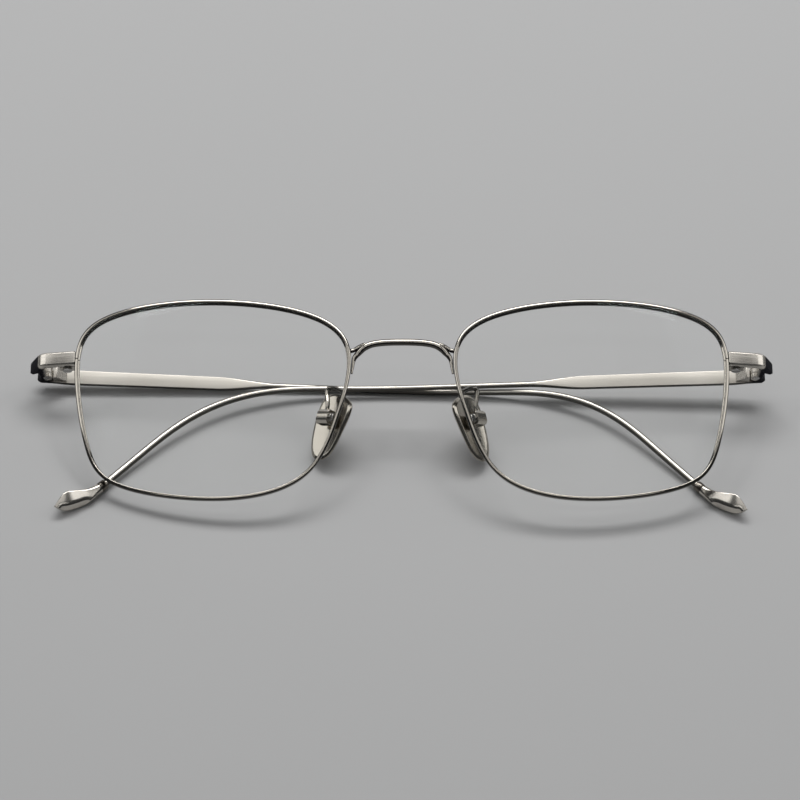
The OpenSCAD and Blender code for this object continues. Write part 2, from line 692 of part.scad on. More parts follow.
// Nose pad frame: x across the pad, y up its length and z out of its back
pad_edge = [pad_x, -pad_drop, -pad_depth];
module at_pad(splay) {
    translate(pad_edge) rotate([pad_pitch, 0, pad_lean]) rotate([0, splay, 0])
        translate([pad_w / 2, 0, 0]) children();
}
function turn_x(p, a) = [p[0], p[1] * cos(a) - p[2] * sin(a), p[1] * sin(a) + p[2] * cos(a)];
function turn_y(p, a) = [p[0] * cos(a) + p[2] * sin(a), p[1], -p[0] * sin(a) + p[2] * cos(a)];
function turn_z(p, a) = [p[0] * cos(a) - p[1] * sin(a), p[0] * sin(a) + p[1] * cos(a), p[2]];
function on_pad(p, splay) =
    pad_edge + turn_z(turn_x(turn_y(p + [pad_w / 2, 0, 0], splay), pad_pitch), pad_lean);

// Outline of a pad as shares of its half width and of its half length, the nose to the left
pad_outline = [
    [0.98, 0.25], [0.95, -0.51], [0.63, -1.03], [-0.01, -0.99], [-0.46, -0.81],
    [-0.79, -0.1], [-1.1, 0.54], [-0.87, 0.8], [0.24, 1.08], [0.9, 0.85]
];
pad_points = 50;
pad_bevel = 0.35;
pad_dish = 0.15;
function pad_ring(inset, z) = [for (u = spread(0, len(pad_outline), pad_points))
    let (q = loop_point(pad_outline, u))
    [(pad_w / 2 - inset) * q[0], (pad_len / 2 - inset) * q[1], z]
];
box_y = 1.2;
box_gap = 0.4;
box_foot = pad_t / 2 + box_gap;
screw_z = box_foot + box_h / 2;
tab_len = 1.3;
slot_t = tab_t + 0.2;
slot_len = box_len - 0.7;
pad_pin_r = pad_screw_d / 2;
// Cylinder along x through a point
module crossways(x, y, z, r, w) {
    translate([x, y, z]) rotate([0, 90, 0]) cylinder(r = r, h = w);
}
module pad(splay) {
    color(metal) at_pad(splay) difference() {
        union() {
            loft([
                pad_ring(1.6, -pad_t / 2 - pad_dish), pad_ring(pad_bevel, -pad_t / 2),
                pad_ring(0, pad_bevel - pad_t / 2), pad_ring(0, pad_t / 2 - pad_bevel),
                pad_ring(pad_bevel, pad_t / 2)
            ]);
            translate([-tab_t / 2, box_y - tab_len / 2, 0])
                cube([tab_t, tab_len, screw_z]);
            crossways(-tab_t / 2, box_y, screw_z, tab_len / 2, tab_t);
        }
        crossways(-tab_t, box_y, screw_z, pad_pin_r + bore_clear, 2 * tab_t);
    }
}
module pad_box(splay) {
    top = box_foot + box_h;
    color(metal) at_pad(splay) difference() {
        intersection() {
            translate([-box_w / 2, box_y - box_len / 2, box_foot]) cube([box_w, box_len, box_h]);
            crossways(-box_w / 2, box_y, box_foot + 0.55, 1.72, box_w);
        }
        translate([-slot_t / 2, box_y - slot_len / 2, box_foot - eps])
            cube([slot_t, slot_len, box_h - 0.3]);
        crossways(-box_w, box_y, screw_z, pad_pin_r + bore_clear, 2 * box_w);
    }
}
pad_head_r = 0.75;
pad_head_h = 0.35;
module pad_screw(splay) {
    color(dark_metal) at_pad(splay) difference() {
        union() {
            crossways(-box_w / 2 - solder, box_y, screw_z, pad_pin_r, box_w + solder);
            crossways(-box_w / 2 - solder - pad_head_h, box_y, screw_z, pad_head_r, pad_head_h);
        }
        translate([-box_w / 2 - solder - pad_head_h, box_y, screw_z])
            cube([0.3, 2 * pad_head_r + 1, 0.22], center = true);
    }
}

// Pad arm: from the back of the rim, back and outwards, then down to the pad box
arm_foot_y = 1.4;
arm_share = share_at(arm_foot_y, nose_side);
arm_foot = edge_at(arm_share, 0, -rim_d / 2 - solder - arm_d / 2);
function arm_line(splay) = [
    arm_foot + [0.1, -0.9, 0], arm_foot, arm_foot + [0.9, 1, -1.1], [13, 3.3, -2.3],
    [14.1, 3.7, -3.1], [14.4, 2.6, -3.4],
    on_pad([0, box_y + box_len / 2 + 1.2, screw_z + 0.1], splay),
    on_pad([0, box_y + box_len / 2 + solder, screw_z], splay)
];
arm_sizes = [arm_d, arm_d, arm_d, arm_d, arm_d, arm_d, 0.9 * arm_d, 0.85 * arm_d];
module pad_arm(splay) {
    color(metal) loft(tube_rings(arm_line(splay), 28, arm_sizes, [1, 0.3, 0.2]));
}

// Most that a temple can fold before one of its places reaches the rim of the other lens
function temple_half(s) =
    s > tip_start ? tip_t / 2 : s > collar_start ? collar_d / 2 : bar_t(s) / 2;
rim_plan = [for (u = lens_shares) lens_xy(u)];
function fold_room(p, half) =
    let (
        q = [-hinge_x - p[0] - lens_x, hinge_y + p[1]],
        behind = [for (o = rim_plan) if (norm(q - o) < rim_out + half + 0.3) lens_on(o)[2]]
    )
    len(behind) == 0 ? 90
    : asin((min(behind) - rim_d / 2 - temple_gap - half + hinge_depth - p[2]) / -p[0]);
function most_fold(ear) =
    let (stops = concat([0], spread(wire_start, temple_len, 72)), path = bar_path(stops, ear))
    min([for (i = [0:len(path) - 1]) fold_room(path[i], temple_half(stops[i]))]);
left_fold = most_fold(left_ear);
// The right temple passes behind the left one
right_fold = asin((wire_d + temple_gap) / hinge_x - sin(left_fold));

// How the glasses lie: on the right temple's lowest place and on both tips
function folded(points, fold) = [for (p = points) hinge_at + turn_y(p, fold)];
right_bar = mirrored(folded(temple_skin(right_ear), -right_fold));
left_tip_points = folded([for (r = tip_skin(left_ear)) each r], left_fold);
right_tip_points = mirrored(folded(
    [for (r = tip_skin(right_ear)) each r], -right_fold));
function lowest(points, n) =
    let (h = [for (p = points) p * n], m = min(h))
    [for (i = [0:len(h) - 1]) if (h[i] == m) points[i]][0];
function lying(n, k) =
    let (
        a = lowest(right_bar, n),
        b = lowest(right_tip_points, n),
        c = lowest(left_tip_points, n),
        m = unit(cross(b - a, c - a)),
        up = m[2] < 0 ? -m : m
    )
    k == 0 ? n : lying(up, k - 1);
table_up = lying(unit([0, 0.37, 0.93]), 8);
tilt = atan2(table_up[1], table_up[2]);
roll = -atan2(table_up[0], norm([table_up[1], table_up[2]]));
function laid(points) = [for (p = points) turn_y(turn_x(p, tilt), roll)];
extremes = laid(concat(
    [for (r = rim_skin()) each r], mirrored([for (r = rim_skin()) each r]),
    [for (r = end_skin()) each r], mirrored([for (r = end_skin()) each r]),
    left_tip_points, right_tip_points
));
ex = [for (p = extremes) p[0]];
ey = [for (p = extremes) p[1]];
floor_z = min([for (p = laid(concat(right_bar, left_tip_points, right_tip_points))) p[2]]);
shift = [-(min(ex) + max(ex)) / 2, -(min(ey) + max(ey)) / 2, -floor_z];
module lay() {
    translate(shift) rotate([tilt, roll, 0]) children();
}
module left_side() {
    lay() children();
}
module right_side() {
    lay() mirror([1, 0, 0]) children();
}

lay() bridge();
left_side() rim();  // left_rim
right_side() rim();  // right_rim
left_side() lens();  // left_lens
right_side() lens();  // right_lens
left_side() endpiece();  // left_endpiece
right_side() endpiece();  // right_endpiece
left_side() upper_block();  // left_upper_block
right_side() upper_block();  // right_upper_block
left_side() lower_block();  // left_lower_block
right_side() lower_block();  // right_lower_block
left_side() closing_screw();  // left_closing_screw
right_side() closing_screw();  // right_closing_screw
left_side() front_hinge();  // left_front_hinge
right_side() front_hinge();  // right_front_hinge
left_side() hinge_screw();  // left_hinge_screw
right_side() hinge_screw();  // right_hinge_screw
left_side() temple_hinge(left_fold);  // left_temple_hinge
right_side() temple_hinge(-right_fold);  // right_temple_hinge
left_side() temple(left_ear, left_fold);  // left_temple
right_side() temple(right_ear, -right_fold);  // right_temple
left_side() tip_collar(left_ear, left_fold);  // left_tip_collar
right_side() tip_collar(right_ear, -right_fold);  // right_tip_collar
left_side() temple_tip(left_ear, left_fold);  // left_temple_tip
right_side() temple_tip(right_ear, -right_fold);  // right_temple_tip
left_side() pad_arm(left_splay);  // left_pad_arm
right_side() pad_arm(right_splay);  // right_pad_arm
left_side() pad_box(left_splay);  // left_pad_box
right_side() pad_box(right_splay);  // right_pad_box
left_side() pad(left_splay);  // left_pad
right_side() pad(right_splay);  // right_pad
left_side() pad_screw(left_splay);  // left_pad_screw
right_side() pad_screw(right_splay);  // right_pad_screw
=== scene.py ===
# %% [markdown]
# Slim metal eyeglasses, folded on a table
#
# The CAD model comes first: it fixes every size and every joint. Blender gives the wires their
# smooth curves, the metal its shine and the lenses their clearness. The first cell loads that
# model, and everything after it is placed by what the model says.

# %% The CAD model
import json
import math
import bmesh
import bpy
import numpy as np
from mathutils import Matrix, Vector

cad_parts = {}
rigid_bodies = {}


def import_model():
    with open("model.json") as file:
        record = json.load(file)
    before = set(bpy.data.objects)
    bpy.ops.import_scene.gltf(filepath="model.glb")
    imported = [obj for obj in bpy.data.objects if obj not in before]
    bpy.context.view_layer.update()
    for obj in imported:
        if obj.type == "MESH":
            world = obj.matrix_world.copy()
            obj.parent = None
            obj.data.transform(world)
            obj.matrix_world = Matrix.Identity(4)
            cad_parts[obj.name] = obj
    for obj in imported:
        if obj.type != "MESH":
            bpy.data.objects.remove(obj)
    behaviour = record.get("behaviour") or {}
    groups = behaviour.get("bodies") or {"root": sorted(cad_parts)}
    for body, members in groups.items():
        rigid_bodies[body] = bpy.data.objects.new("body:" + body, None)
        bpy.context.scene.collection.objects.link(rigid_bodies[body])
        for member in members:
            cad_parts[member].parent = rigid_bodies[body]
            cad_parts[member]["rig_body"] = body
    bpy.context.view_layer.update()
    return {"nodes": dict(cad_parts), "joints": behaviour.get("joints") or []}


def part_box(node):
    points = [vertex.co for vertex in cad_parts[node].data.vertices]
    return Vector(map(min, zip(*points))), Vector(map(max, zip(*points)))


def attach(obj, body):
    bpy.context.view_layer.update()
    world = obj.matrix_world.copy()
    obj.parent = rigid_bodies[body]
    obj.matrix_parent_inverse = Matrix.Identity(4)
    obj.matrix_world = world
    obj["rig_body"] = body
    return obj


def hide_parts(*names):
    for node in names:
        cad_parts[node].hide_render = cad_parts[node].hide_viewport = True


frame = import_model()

# %% [markdown]
# An optician measures glasses from the front: x towards the wearer's left, y up and z out of the
# front. On the table that front lies tilted. The hinge pins of the two temples are known from the
# joints, and they are enough to find the front's own axes, so that every piece can be drawn
# upright in millimetres and laid down afterwards.

# %% The front's own axes
HINGE_Y = 10.0
HINGE_DEPTH = 10.0
joints = {joint["name"]: joint for joint in frame["joints"]}
left_pin = 1000 * np.array(joints["left_temple_fold"]["pos_m"])
right_pin = 1000 * np.array(joints["right_temple_fold"]["pos_m"])


def unit(v):
    """Each vector divided by its own length."""
    v = np.asarray(v, float)
    return v / np.linalg.norm(v, axis=-1, keepdims=True)


across = unit(left_pin - right_pin)
upward = unit(np.array(joints["right_temple_fold"]["axis"]))
outward = np.cross(across, upward)
AXES = np.array([across, upward, outward])
ORIGIN = (left_pin + right_pin) / 2 - HINGE_Y * upward + HINGE_DEPTH * outward


def laid(points):
    """Points of the upright front, in mm, as they lie on the table, in metres:
    origin + x * across + y * upward + z * outward."""
    return (ORIGIN + np.asarray(points, float) @ AXES) / 1000


hinge_x = float(np.linalg.norm(left_pin - right_pin) / 2)
print("distance between the hinge pins in mm:", round(2 * hinge_x, 2))

# %% [markdown]
# The camera stands where the photographer stood. It is a long lens, 153 mm on a 36 mm frame, held
# 644 mm away and 23 degrees below the line that the front faces along. A tiny shift puts the
# middle of the picture where the photograph has it.

# %% Camera
CAMERA_BELOW = math.radians(23.1)
CAMERA_ASIDE = math.radians(-0.46)
CAMERA_ROLL = math.radians(-0.166)
CAMERA_FAR = 644.0
SENSOR = 36.0
FRAME_PX = 800
FOCAL_PX = 3402.0
MIDDLE_PX = (402.32, 399.26)

sight = unit([
    math.sin(CAMERA_ASIDE) * math.cos(CAMERA_BELOW),
    -math.sin(CAMERA_BELOW),
    math.cos(CAMERA_BELOW) * math.cos(CAMERA_ASIDE),
])
level = unit(np.cross([0, 1, 0], sight))
plumb = np.cross(sight, level)
picture_x = level * math.cos(CAMERA_ROLL) + plumb * math.sin(CAMERA_ROLL)
picture_y = plumb * math.cos(CAMERA_ROLL) - level * math.sin(CAMERA_ROLL)
turn = np.array([picture_x, picture_y, sight]) @ AXES
camera = bpy.data.objects.new("camera", bpy.data.cameras.new("camera"))
bpy.context.scene.collection.objects.link(camera)
camera.matrix_world = (
    Matrix.Translation(laid(CAMERA_FAR * sight)) @ Matrix(turn.T.tolist()).to_4x4())
camera.data.sensor_width = SENSOR
camera.data.lens = FOCAL_PX / FRAME_PX * SENSOR
camera.data.shift_x = (FRAME_PX / 2 - MIDDLE_PX[0]) / FRAME_PX
camera.data.shift_y = (MIDDLE_PX[1] - FRAME_PX / 2) / FRAME_PX
camera.data.clip_start = 0.01
bpy.context.scene.camera = camera
print("camera stands at", [round(x, 3) for x in camera.location], "m")

# %% [markdown]
# Nearly every piece is a wire or a bar: one outline carried along a path. The mesh is then a grid
# of rings, the outlines, joined by strips of four-sided faces, with a flat face on both ends.
# Grids like this shade smoothly, and each carries a map of its own surface, its length along the
# path and its width around it, that brushing can follow later.

# %% Grid of rings to a mesh
MM_PER_CM = 10


def strips(m, k, loop):
    """Corner numbers of the four-sided faces between m rings of k points. Face (i, j) has the
    corners (i, j), (i, j + 1), (i + 1, j + 1) and (i + 1, j), where j runs round the ring."""
    i, j = np.meshgrid(np.arange(m if loop else m - 1), np.arange(k), indexing="ij")
    n, o = (i + 1) % m, (j + 1) % k
    return np.stack([i * k + j, i * k + o, n * k + o, n * k + j], -1).reshape(-1, 4)


def volume_of(points, faces):
    """Volume inside a closed skin: the sum over its triangles of a . (b x c) / 6."""
    a, b, c, d = (points[faces[:, n]] for n in range(4))
    return float((a * np.cross(b, c)).sum() + (a * np.cross(c, d)).sum()) / 6


def surface(name, rings, material, body, node=None, loop=False, sharp=35):
    """Puts a grid of rings, (rings, points, xyz) in the front's mm, into one closed piece. Its
    surface map holds the way along the rings and the way round them, in centimetres."""
    m, k = rings.shape[:2]
    points = laid(rings.reshape(-1, 3))
    faces = strips(m, k, loop)
    steps = np.linalg.norm(np.diff(rings, axis=0), axis=-1).mean(1)
    along = np.concatenate([[0], np.cumsum(steps)])
    wide = np.linalg.norm(np.diff(rings, axis=1, append=rings[:, :1]), axis=-1).mean(0)
    round_it = np.concatenate([[0], np.cumsum(wide)])
    i, j = faces[:, 0] // k, faces[:, 0] % k
    u = along[np.minimum(np.stack([i, i, i + 1, i + 1], -1), m - 1)]
    v = round_it[np.stack([j, j + 1, j + 1, j], -1)]
    centre = points.mean(0)
    if volume_of(points - centre, faces) < 0:
        faces, u, v = faces[:, ::-1], u[:, ::-1], v[:, ::-1]
        first, last = np.arange(k), np.arange(k)[::-1] + (m - 1) * k
    else:
        first, last = np.arange(k)[::-1], np.arange(k) + (m - 1) * k
    ends = [] if loop else [first.tolist(), last.tolist()]
    mesh = bpy.data.meshes.new(name)
    mesh.from_pydata(points.tolist(), [], faces.tolist() + ends)
    uv = np.zeros((len(mesh.loops), 2), np.float32)
    uv[: faces.size] = np.stack([u.ravel(), v.ravel()], -1) / MM_PER_CM
    mesh.uv_layers.new(name="surface_map").data.foreach_set("uv", uv.ravel())
    mesh.shade_smooth()
    mesh.set_sharp_from_angle(angle=math.radians(sharp))
    piece = bpy.data.objects.new(name, mesh)
    bpy.context.scene.collection.objects.link(piece)
    mesh.materials.append(material)
    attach(piece, body)
    if node:
        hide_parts(node)
    return piece


# %% [markdown]
# Two more tools are needed for all the wires. Smooth lines are B-splines: each point is a blend
# of four control points, so a few numbers give a fair curve without kinks. Outlines are boxes
# with rounded corners, which become full rounds when the corner is half the size.

# %% Curves and outlines
CORNER_STEPS = 6
CUT_STEPS = 4
NEAR = 0.01


def clamp01(t):
    """t, held between 0 and 1."""
    return np.clip(t, 0.0, 1.0)


def mix(a, b, t):
    """a + (b - a) * t, with t held between 0 and 1."""
    return a + (b - a) * clamp01(t)


def smooth(t):
    """Eases from 0 to 1: 3 t^2 - 2 t^3."""
    t = clamp01(t)
    return t * t * (3 - 2 * t)


def blend4(f):
    """Weights of the four control points near a share f of a span of a cubic B-spline."""
    return (
        (1 - f) ** 3 / 6, (3 * f**3 - 6 * f**2 + 4) / 6,
        (-3 * f**3 + 3 * f**2 + 3 * f + 1) / 6, f**3 / 6)


def loop_point(control, u):
    """Points on the closed curve of the control points, at the shares u, one per control point."""
    control, u = np.asarray(control, float), np.asarray(u, float)
    i = np.floor(u).astype(int)
    return sum(
        w[..., None] * control[(i + k - 1) % len(control)] for k, w in enumerate(blend4(u - i)))


def line_point(control, u):
    """The same for an open curve that starts and ends at its first and last points."""
    control, u = np.asarray(control, float), np.asarray(u, float)
    more = np.vstack([2 * control[0] - control[1], control, 2 * control[-1] - control[-2]])
    i = np.minimum(np.floor(u).astype(int), len(control) - 2)
    return sum(w[..., None] * more[i + k] for k, w in enumerate(blend4(u - i)))


def box_outline(h, t, r):
    """Outline of a bar of height h and thickness t with corners of radius r: each corner is a
    quarter of a circle about a point that lies r inside both sides."""
    h, t, r = (np.atleast_1d(np.asarray(x, float))[:, None] for x in (h, t, r))
    quarter = np.repeat([0, 90, 180, 270], CORNER_STEPS + 1)
    angle = np.radians(quarter + np.tile(np.linspace(0, 90, CORNER_STEPS + 1), 4))
    middle = np.radians(quarter + 45)
    return np.stack([
        np.sign(np.cos(middle)) * (h / 2 - r) + r * np.cos(angle),
        np.sign(np.sin(middle)) * (t / 2 - r) + r * np.sin(angle)], -1)


def rounded(corners, radius):
    """A closed outline whose corners are cut by a curve that leaves each one radius before it:
    the curve (1 - s)^2 a + 2 s (1 - s) corner + s^2 b."""
    c = np.asarray(corners, float)
    radius = np.broadcast_to(radius, len(c))[:, None]
    a = c + radius * unit(np.roll(c, 1, 0) - c)
    b = c + radius * unit(np.roll(c, -1, 0) - c)
    s = np.linspace(0, 1, CUT_STEPS + 1)[None, :, None]
    cut = (1 - s) ** 2 * a[:, None] + 2 * s * (1 - s) * c[:, None] + s**2 * b[:, None]
    return cut.reshape(-1, 2)


def tube(line, sizes, up, n, sides=20):
    """Rings of a round wire along an open curve: centre + r cos(a) v + r sin(a) w, where v and w
    are square to the way the line runs and to each other."""
    u = np.linspace(0, len(line) - 1, n)
    centre = line_point(line, u)
    ahead = line_point(line, np.minimum(u + NEAR, len(line) - 1))
    along = unit(ahead - line_point(line, np.maximum(u - NEAR, 0)))
    w = unit(np.cross(up, along))
    v = np.cross(along, w)
    r = np.interp(u, np.arange(len(sizes)), sizes)[:, None, None] / 2
    a = np.linspace(0, 2 * np.pi, sides, endpoint=False)[None, :, None]
    return centre[:, None] + r * (np.cos(a) * v[:, None] + np.sin(a) * w[:, None])


def sided(rings, side):
    """The rings as drawn for the wearer's left, or mirrored for the right."""
    return rings * np.array([side, 1, 1])


SIDES = {"left": 1, "right": -1}

# %% [markdown]
# Lenses and rims follow one outline. The maker cuts both lenses from the same pattern, so it is
# kept as ten shares of the lens's half width and half height. The lens is a piece of a ball of
# 130 mm radius, and each side turns back a little from the bridge.

# %% Outline of a lens
LENS_W = 52.0
LENS_H = 40.3
BRIDGE_GAP = 20.3
LENS_RADIUS = 130.0
WRAP = math.tan(math.radians(4.5))
OUTLINE = np.array([
    [1.03, 0.46], [0.91, -0.5], [0.75, -0.87], [-0.11, -1.07], [-0.73, -0.87],
    [-0.91, -0.26], [-1.09, 0.63], [-0.63, 0.94], [0.21, 1.04], [0.94, 0.92]])
LENS_X = LENS_W / 2 + BRIDGE_GAP / 2
CROWN = LENS_H**2 / 8 / LENS_RADIUS
NOSE_SIDE = (5, 6.6)
EAR_SIDE = (-0.9, 1)


def lens_xy(u):
    """Points on the lens's outline in plan, in mm: the curve's shares times its half sizes."""
    return loop_point(OUTLINE, u) * [LENS_W / 2, LENS_H / 2]


def lens_on(q):
    """Place on the lens over a point q of its plan: the ball's height less what the wrap takes."""
    height = np.sqrt(LENS_RADIUS**2 - (q**2).sum(-1)) - LENS_RADIUS
    return np.stack([LENS_X + q[..., 0], q[..., 1], height - q[..., 0] * WRAP + CROWN], -1)


def lens_normal(q):
    """Direction out of the front of the lens over q: the ball's slope, and the wrap added."""
    r = np.sqrt(LENS_RADIUS**2 - (q**2).sum(-1))
    return unit(np.stack([q[..., 0] / r + WRAP, q[..., 1] / r, np.ones(q.shape[:-1])], -1))


def edge_at(u, b, n):
    """Places b outwards from the lens's edge and n in front of it, at the shares u."""
    u = np.atleast_1d(np.asarray(u, float))
    q = lens_xy(u)
    along = unit(lens_on(lens_xy(u + NEAR)) - lens_on(lens_xy(u - NEAR)))
    front = lens_normal(q)
    out = np.cross(front, along)
    b, n = np.asarray(b, float), np.asarray(n, float)
    return lens_on(q)[:, None] + b[..., None] * out[:, None] + n[..., None] * front[:, None]


def share_at(y, side):
    """Share of the outline at which it crosses the height y, read off a fine table."""
    u = np.linspace(*side, 4001)
    height = lens_xy(u)[:, 1]
    order = np.argsort(height)
    return float(np.interp(y, height[order], u[order]))


once_round = lens_xy(np.linspace(0, len(OUTLINE), 2000))
perimeter = np.linalg.norm(np.diff(once_round, axis=0), axis=1).sum()
print("way round one lens in mm:", round(float(perimeter), 1))

# %% [markdown]
# The metal is drawn as titanium: a warm grey that is darker than silver. The wires look polished
# and the flat bars rubbed along their length, so one recipe gives several finishes. It works them
# out from noise: a broad one for the faint clouds of handling, and a stretched one for the rubbing
# marks, which change the gloss and stand a hair proud.
#
# The photograph shows dark lines beside the bright ones, and nearly black ends at the hinges. A
# pale table would wash both out, so both are painted into the colour as shade: faces that turn
# away from the front get a painted darker tone, and the hinge ends a painted near-black shade
# whose mirror is tinted down, so that it shows less of the table at a low angle.

# %% Metal finishes
NOISE_LOW, NOISE_HIGH = 0.25, 0.75
MARK_HEIGHT = 0.00002
# Painted shade: facing values between which the painted side shade fades out.
SIDE_SHADE_FULL, SIDE_SHADE_NONE = 0.72, 0.94
TITANIUM = (0.60, 0.57, 0.52)
TITANIUM_DARK = (0.50, 0.47, 0.42)
TITANIUM_WORN = (0.42, 0.39, 0.34)
POLISHED = (0.46, 0.43, 0.385)
POLISHED_DARK = (0.38, 0.355, 0.31)
MATT_DARK = (0.34, 0.32, 0.28)
COLLAR_LIGHT, COLLAR_DARK = (0.2, 0.18, 0.15), (0.12, 0.11, 0.1)
STEEL, STEEL_DARK = (0.58, 0.57, 0.55), (0.42, 0.41, 0.40)
# Painted shade: the dark tone that metal faces turned away from the front take, in place of the dark
# lines they would mirror.
PAINTED_SIDE_SHADE = (0.1, 0.095, 0.085)
# Painted shade: the near-black tone of the hinge ends, and the tint that dims their mirror.
PAINTED_SHADE_BLACK = (0.03, 0.03, 0.033)
PAINTED_SHADE_MIRROR_TINT = (0.45, 0.45, 0.46)


def material_tree(name):
    """A new material, its node tree and the Principled BSDF that the tree starts with."""
    material = bpy.data.materials.new(name)
    material.use_nodes = True
    tree = material.node_tree
    shader = next(n for n in tree.nodes if n.type == "BSDF_PRINCIPLED")
    return material, tree, shader


def add_node(tree, kind, inputs=None, **settings):
    """A new node with its settings, whose inputs are links to other nodes or plain values."""
    node = tree.nodes.new(kind)
    for key, value in settings.items():
        setattr(node, key, value)
    for key, value in (inputs or {}).items():
        if isinstance(value, bpy.types.NodeSocket):
            tree.links.new(value, node.inputs[key])
        else:
            node.inputs[key].default_value = value
    return node


def metal_finish(name, light, dark, gloss, marks, stretch, mapped=True, relief=0.06, painted_end_shade=None,
                 sides=None):
    """Metal whose colour drifts between two tones, and whose roughness and height follow noise
    that is stretched along the rubbing: roughness = gloss + 2 * marks * (noise - 0.5), held
    within half of marks. Where the metal faces neither forwards nor backwards, it takes the
    painted shade tone sides. With painted_end_shade = (start, full, tone) it changes to that
    painted shade tone from start to full, measured in cm along a mapped bar, or else in m from
    the middle of the glasses, and its mirror is tinted darker there."""
    material, tree, shader = material_tree(name)
    if mapped:
        place = add_node(tree, "ShaderNodeUVMap", uv_map="surface_map").outputs["UV"]
        clouds, grain = 1.1, 10.0
    else:
        place = add_node(tree, "ShaderNodeTexCoord").outputs["Object"]
        clouds, grain = 110.0, 1000.0
    spread_out = add_node(tree, "ShaderNodeMapping", {"Vector": place, "Scale": stretch})
    cloud = add_node(tree, "ShaderNodeTexNoise", {"Vector": place, "Scale": clouds, "Detail": 3.0})
    rubbed = add_node(tree, "ShaderNodeTexNoise", {
        "Vector": spread_out.outputs[0], "Scale": grain, "Detail": 5.0, "Roughness": 0.6})
    tone = add_node(tree, "ShaderNodeMix", {
        "Factor": cloud.outputs["Fac"], "A": (*dark, 1), "B": (*light, 1)}, data_type="RGBA")
    level = add_node(tree, "ShaderNodeMapRange", {
        "Value": rubbed.outputs["Fac"], "From Min": NOISE_LOW, "From Max": NOISE_HIGH,
        "To Min": gloss - marks / 2, "To Max": gloss + marks / 2})
    bump = add_node(tree, "ShaderNodeBump", {
        "Strength": relief, "Distance": MARK_HEIGHT, "Height": rubbed.outputs["Fac"]})
    colour = tone.outputs["Result"]
    # Painted shade: faces that turn away from the front are darkened in the colour.
    if sides:
        normal = add_node(tree, "ShaderNodeTexCoord").outputs["Normal"]
        facing = add_node(
            tree, "ShaderNodeVectorMath", {0: normal, 1: tuple(outward)}, operation="DOT_PRODUCT")
        turned = add_node(
            tree, "ShaderNodeMath", {0: facing.outputs["Value"]}, operation="ABSOLUTE")
        side_shade_mask = add_node(tree, "ShaderNodeMapRange", {
            "Value": turned.outputs[0], "From Min": SIDE_SHADE_FULL, "From Max": SIDE_SHADE_NONE})
        colour = add_node(tree, "ShaderNodeMix", {
            "Factor": side_shade_mask.outputs[0], "A": (*sides, 1), "B": colour},
            data_type="RGBA").outputs["Result"]
    # Painted shade: the ends are darkened to near black and their mirror dimmed, in place of the
    # shadowed table that they would mirror.
    if painted_end_shade:
        along = add_node(tree, "ShaderNodeSeparateXYZ", {"Vector": place}).outputs["X"]
        along = add_node(tree, "ShaderNodeMath", {0: along}, operation="ABSOLUTE").outputs[0]
        end_shade_mask = add_node(tree, "ShaderNodeMapRange", {
            "Value": along, "From Min": painted_end_shade[0], "From Max": painted_end_shade[1]})
        colour = add_node(tree, "ShaderNodeMix", {
            "Factor": end_shade_mask.outputs[0], "A": colour, "B": (*painted_end_shade[2], 1)},
            data_type="RGBA").outputs["Result"]
        edge = add_node(tree, "ShaderNodeMix", {
            "Factor": end_shade_mask.outputs[0], "A": (1, 1, 1, 1), "B": (*PAINTED_SHADE_MIRROR_TINT, 1)},
            data_type="RGBA").outputs["Result"]
        tree.links.new(edge, shader.inputs["Specular Tint"])
    tree.links.new(colour, shader.inputs["Base Color"])
    tree.links.new(level.outputs[0], shader.inputs["Roughness"])
    tree.links.new(bump.outputs[0], shader.inputs["Normal"])
    shader.inputs["Metallic"].default_value = 1.0
    return material


# The polished and brushed metals carry the painted side shade.
polished = metal_finish(
    "polished titanium", POLISHED, POLISHED_DARK, 0.1, 0.05, (0.3, 2, 1), sides=PAINTED_SIDE_SHADE)
# Painted shade: the brushed temples turn near black over their first 3 mm, the bevelled endpieces
# along their outer side, and the hinge leaves at their outer ends.
brushed = metal_finish(
    "brushed titanium", TITANIUM, TITANIUM_DARK, 0.36, 0.16, (0.05, 6, 1), relief=0.12,
    painted_end_shade=(0.3, 0.2, PAINTED_SHADE_BLACK), sides=PAINTED_SIDE_SHADE)
bevelled = metal_finish(
    "bevelled titanium", TITANIUM, TITANIUM_DARK, 0.26, 0.14, (0.05, 6, 1), relief=0.12,
    painted_end_shade=(0.71, 0.74, PAINTED_SHADE_BLACK))
satin = metal_finish("satin titanium", TITANIUM, TITANIUM_DARK, 0.2, 0.08, (6, 6, 1))
matt = metal_finish("matt titanium", TITANIUM_WORN, MATT_DARK, 0.18, 0.08, (6, 6, 1))
leaf = metal_finish(
    "hinge titanium", TITANIUM, TITANIUM_DARK, 0.28, 0.08, (3, 3, 3), mapped=False,
    painted_end_shade=(0.0684, 0.069, PAINTED_SHADE_BLACK))
cast = metal_finish(
    "soldered titanium", TITANIUM_DARK, TITANIUM_WORN, 0.2, 0.08, (3, 3, 3), mapped=False)
# The collars take a plain dark tone, darker than the rest of the metal.
darkened = metal_finish(
    "oxidised titanium", COLLAR_LIGHT, COLLAR_DARK, 0.26, 0.08, (3, 3, 3), mapped=False)
steel = metal_finish(
    "screw steel", STEEL, STEEL_DARK, 0.22, 0.1, (3, 3, 9), mapped=False)
print("finishes:", [m.name for m in bpy.data.materials])

# %% [markdown]
# The lenses are clear plastic with a coating that takes most of the shine away, so in the
# photograph they can hardly be seen. Real glass shaders bend and darken what lies behind. A thin
# flat pane does neither, so the lens lets light straight through and mirrors only the share that
# Fresnel's law gives, cut down to what the coating leaves and tinted faintly green to blue. Only
# light that enters is mirrored: from inside, the law would turn a low view into a full mirror.

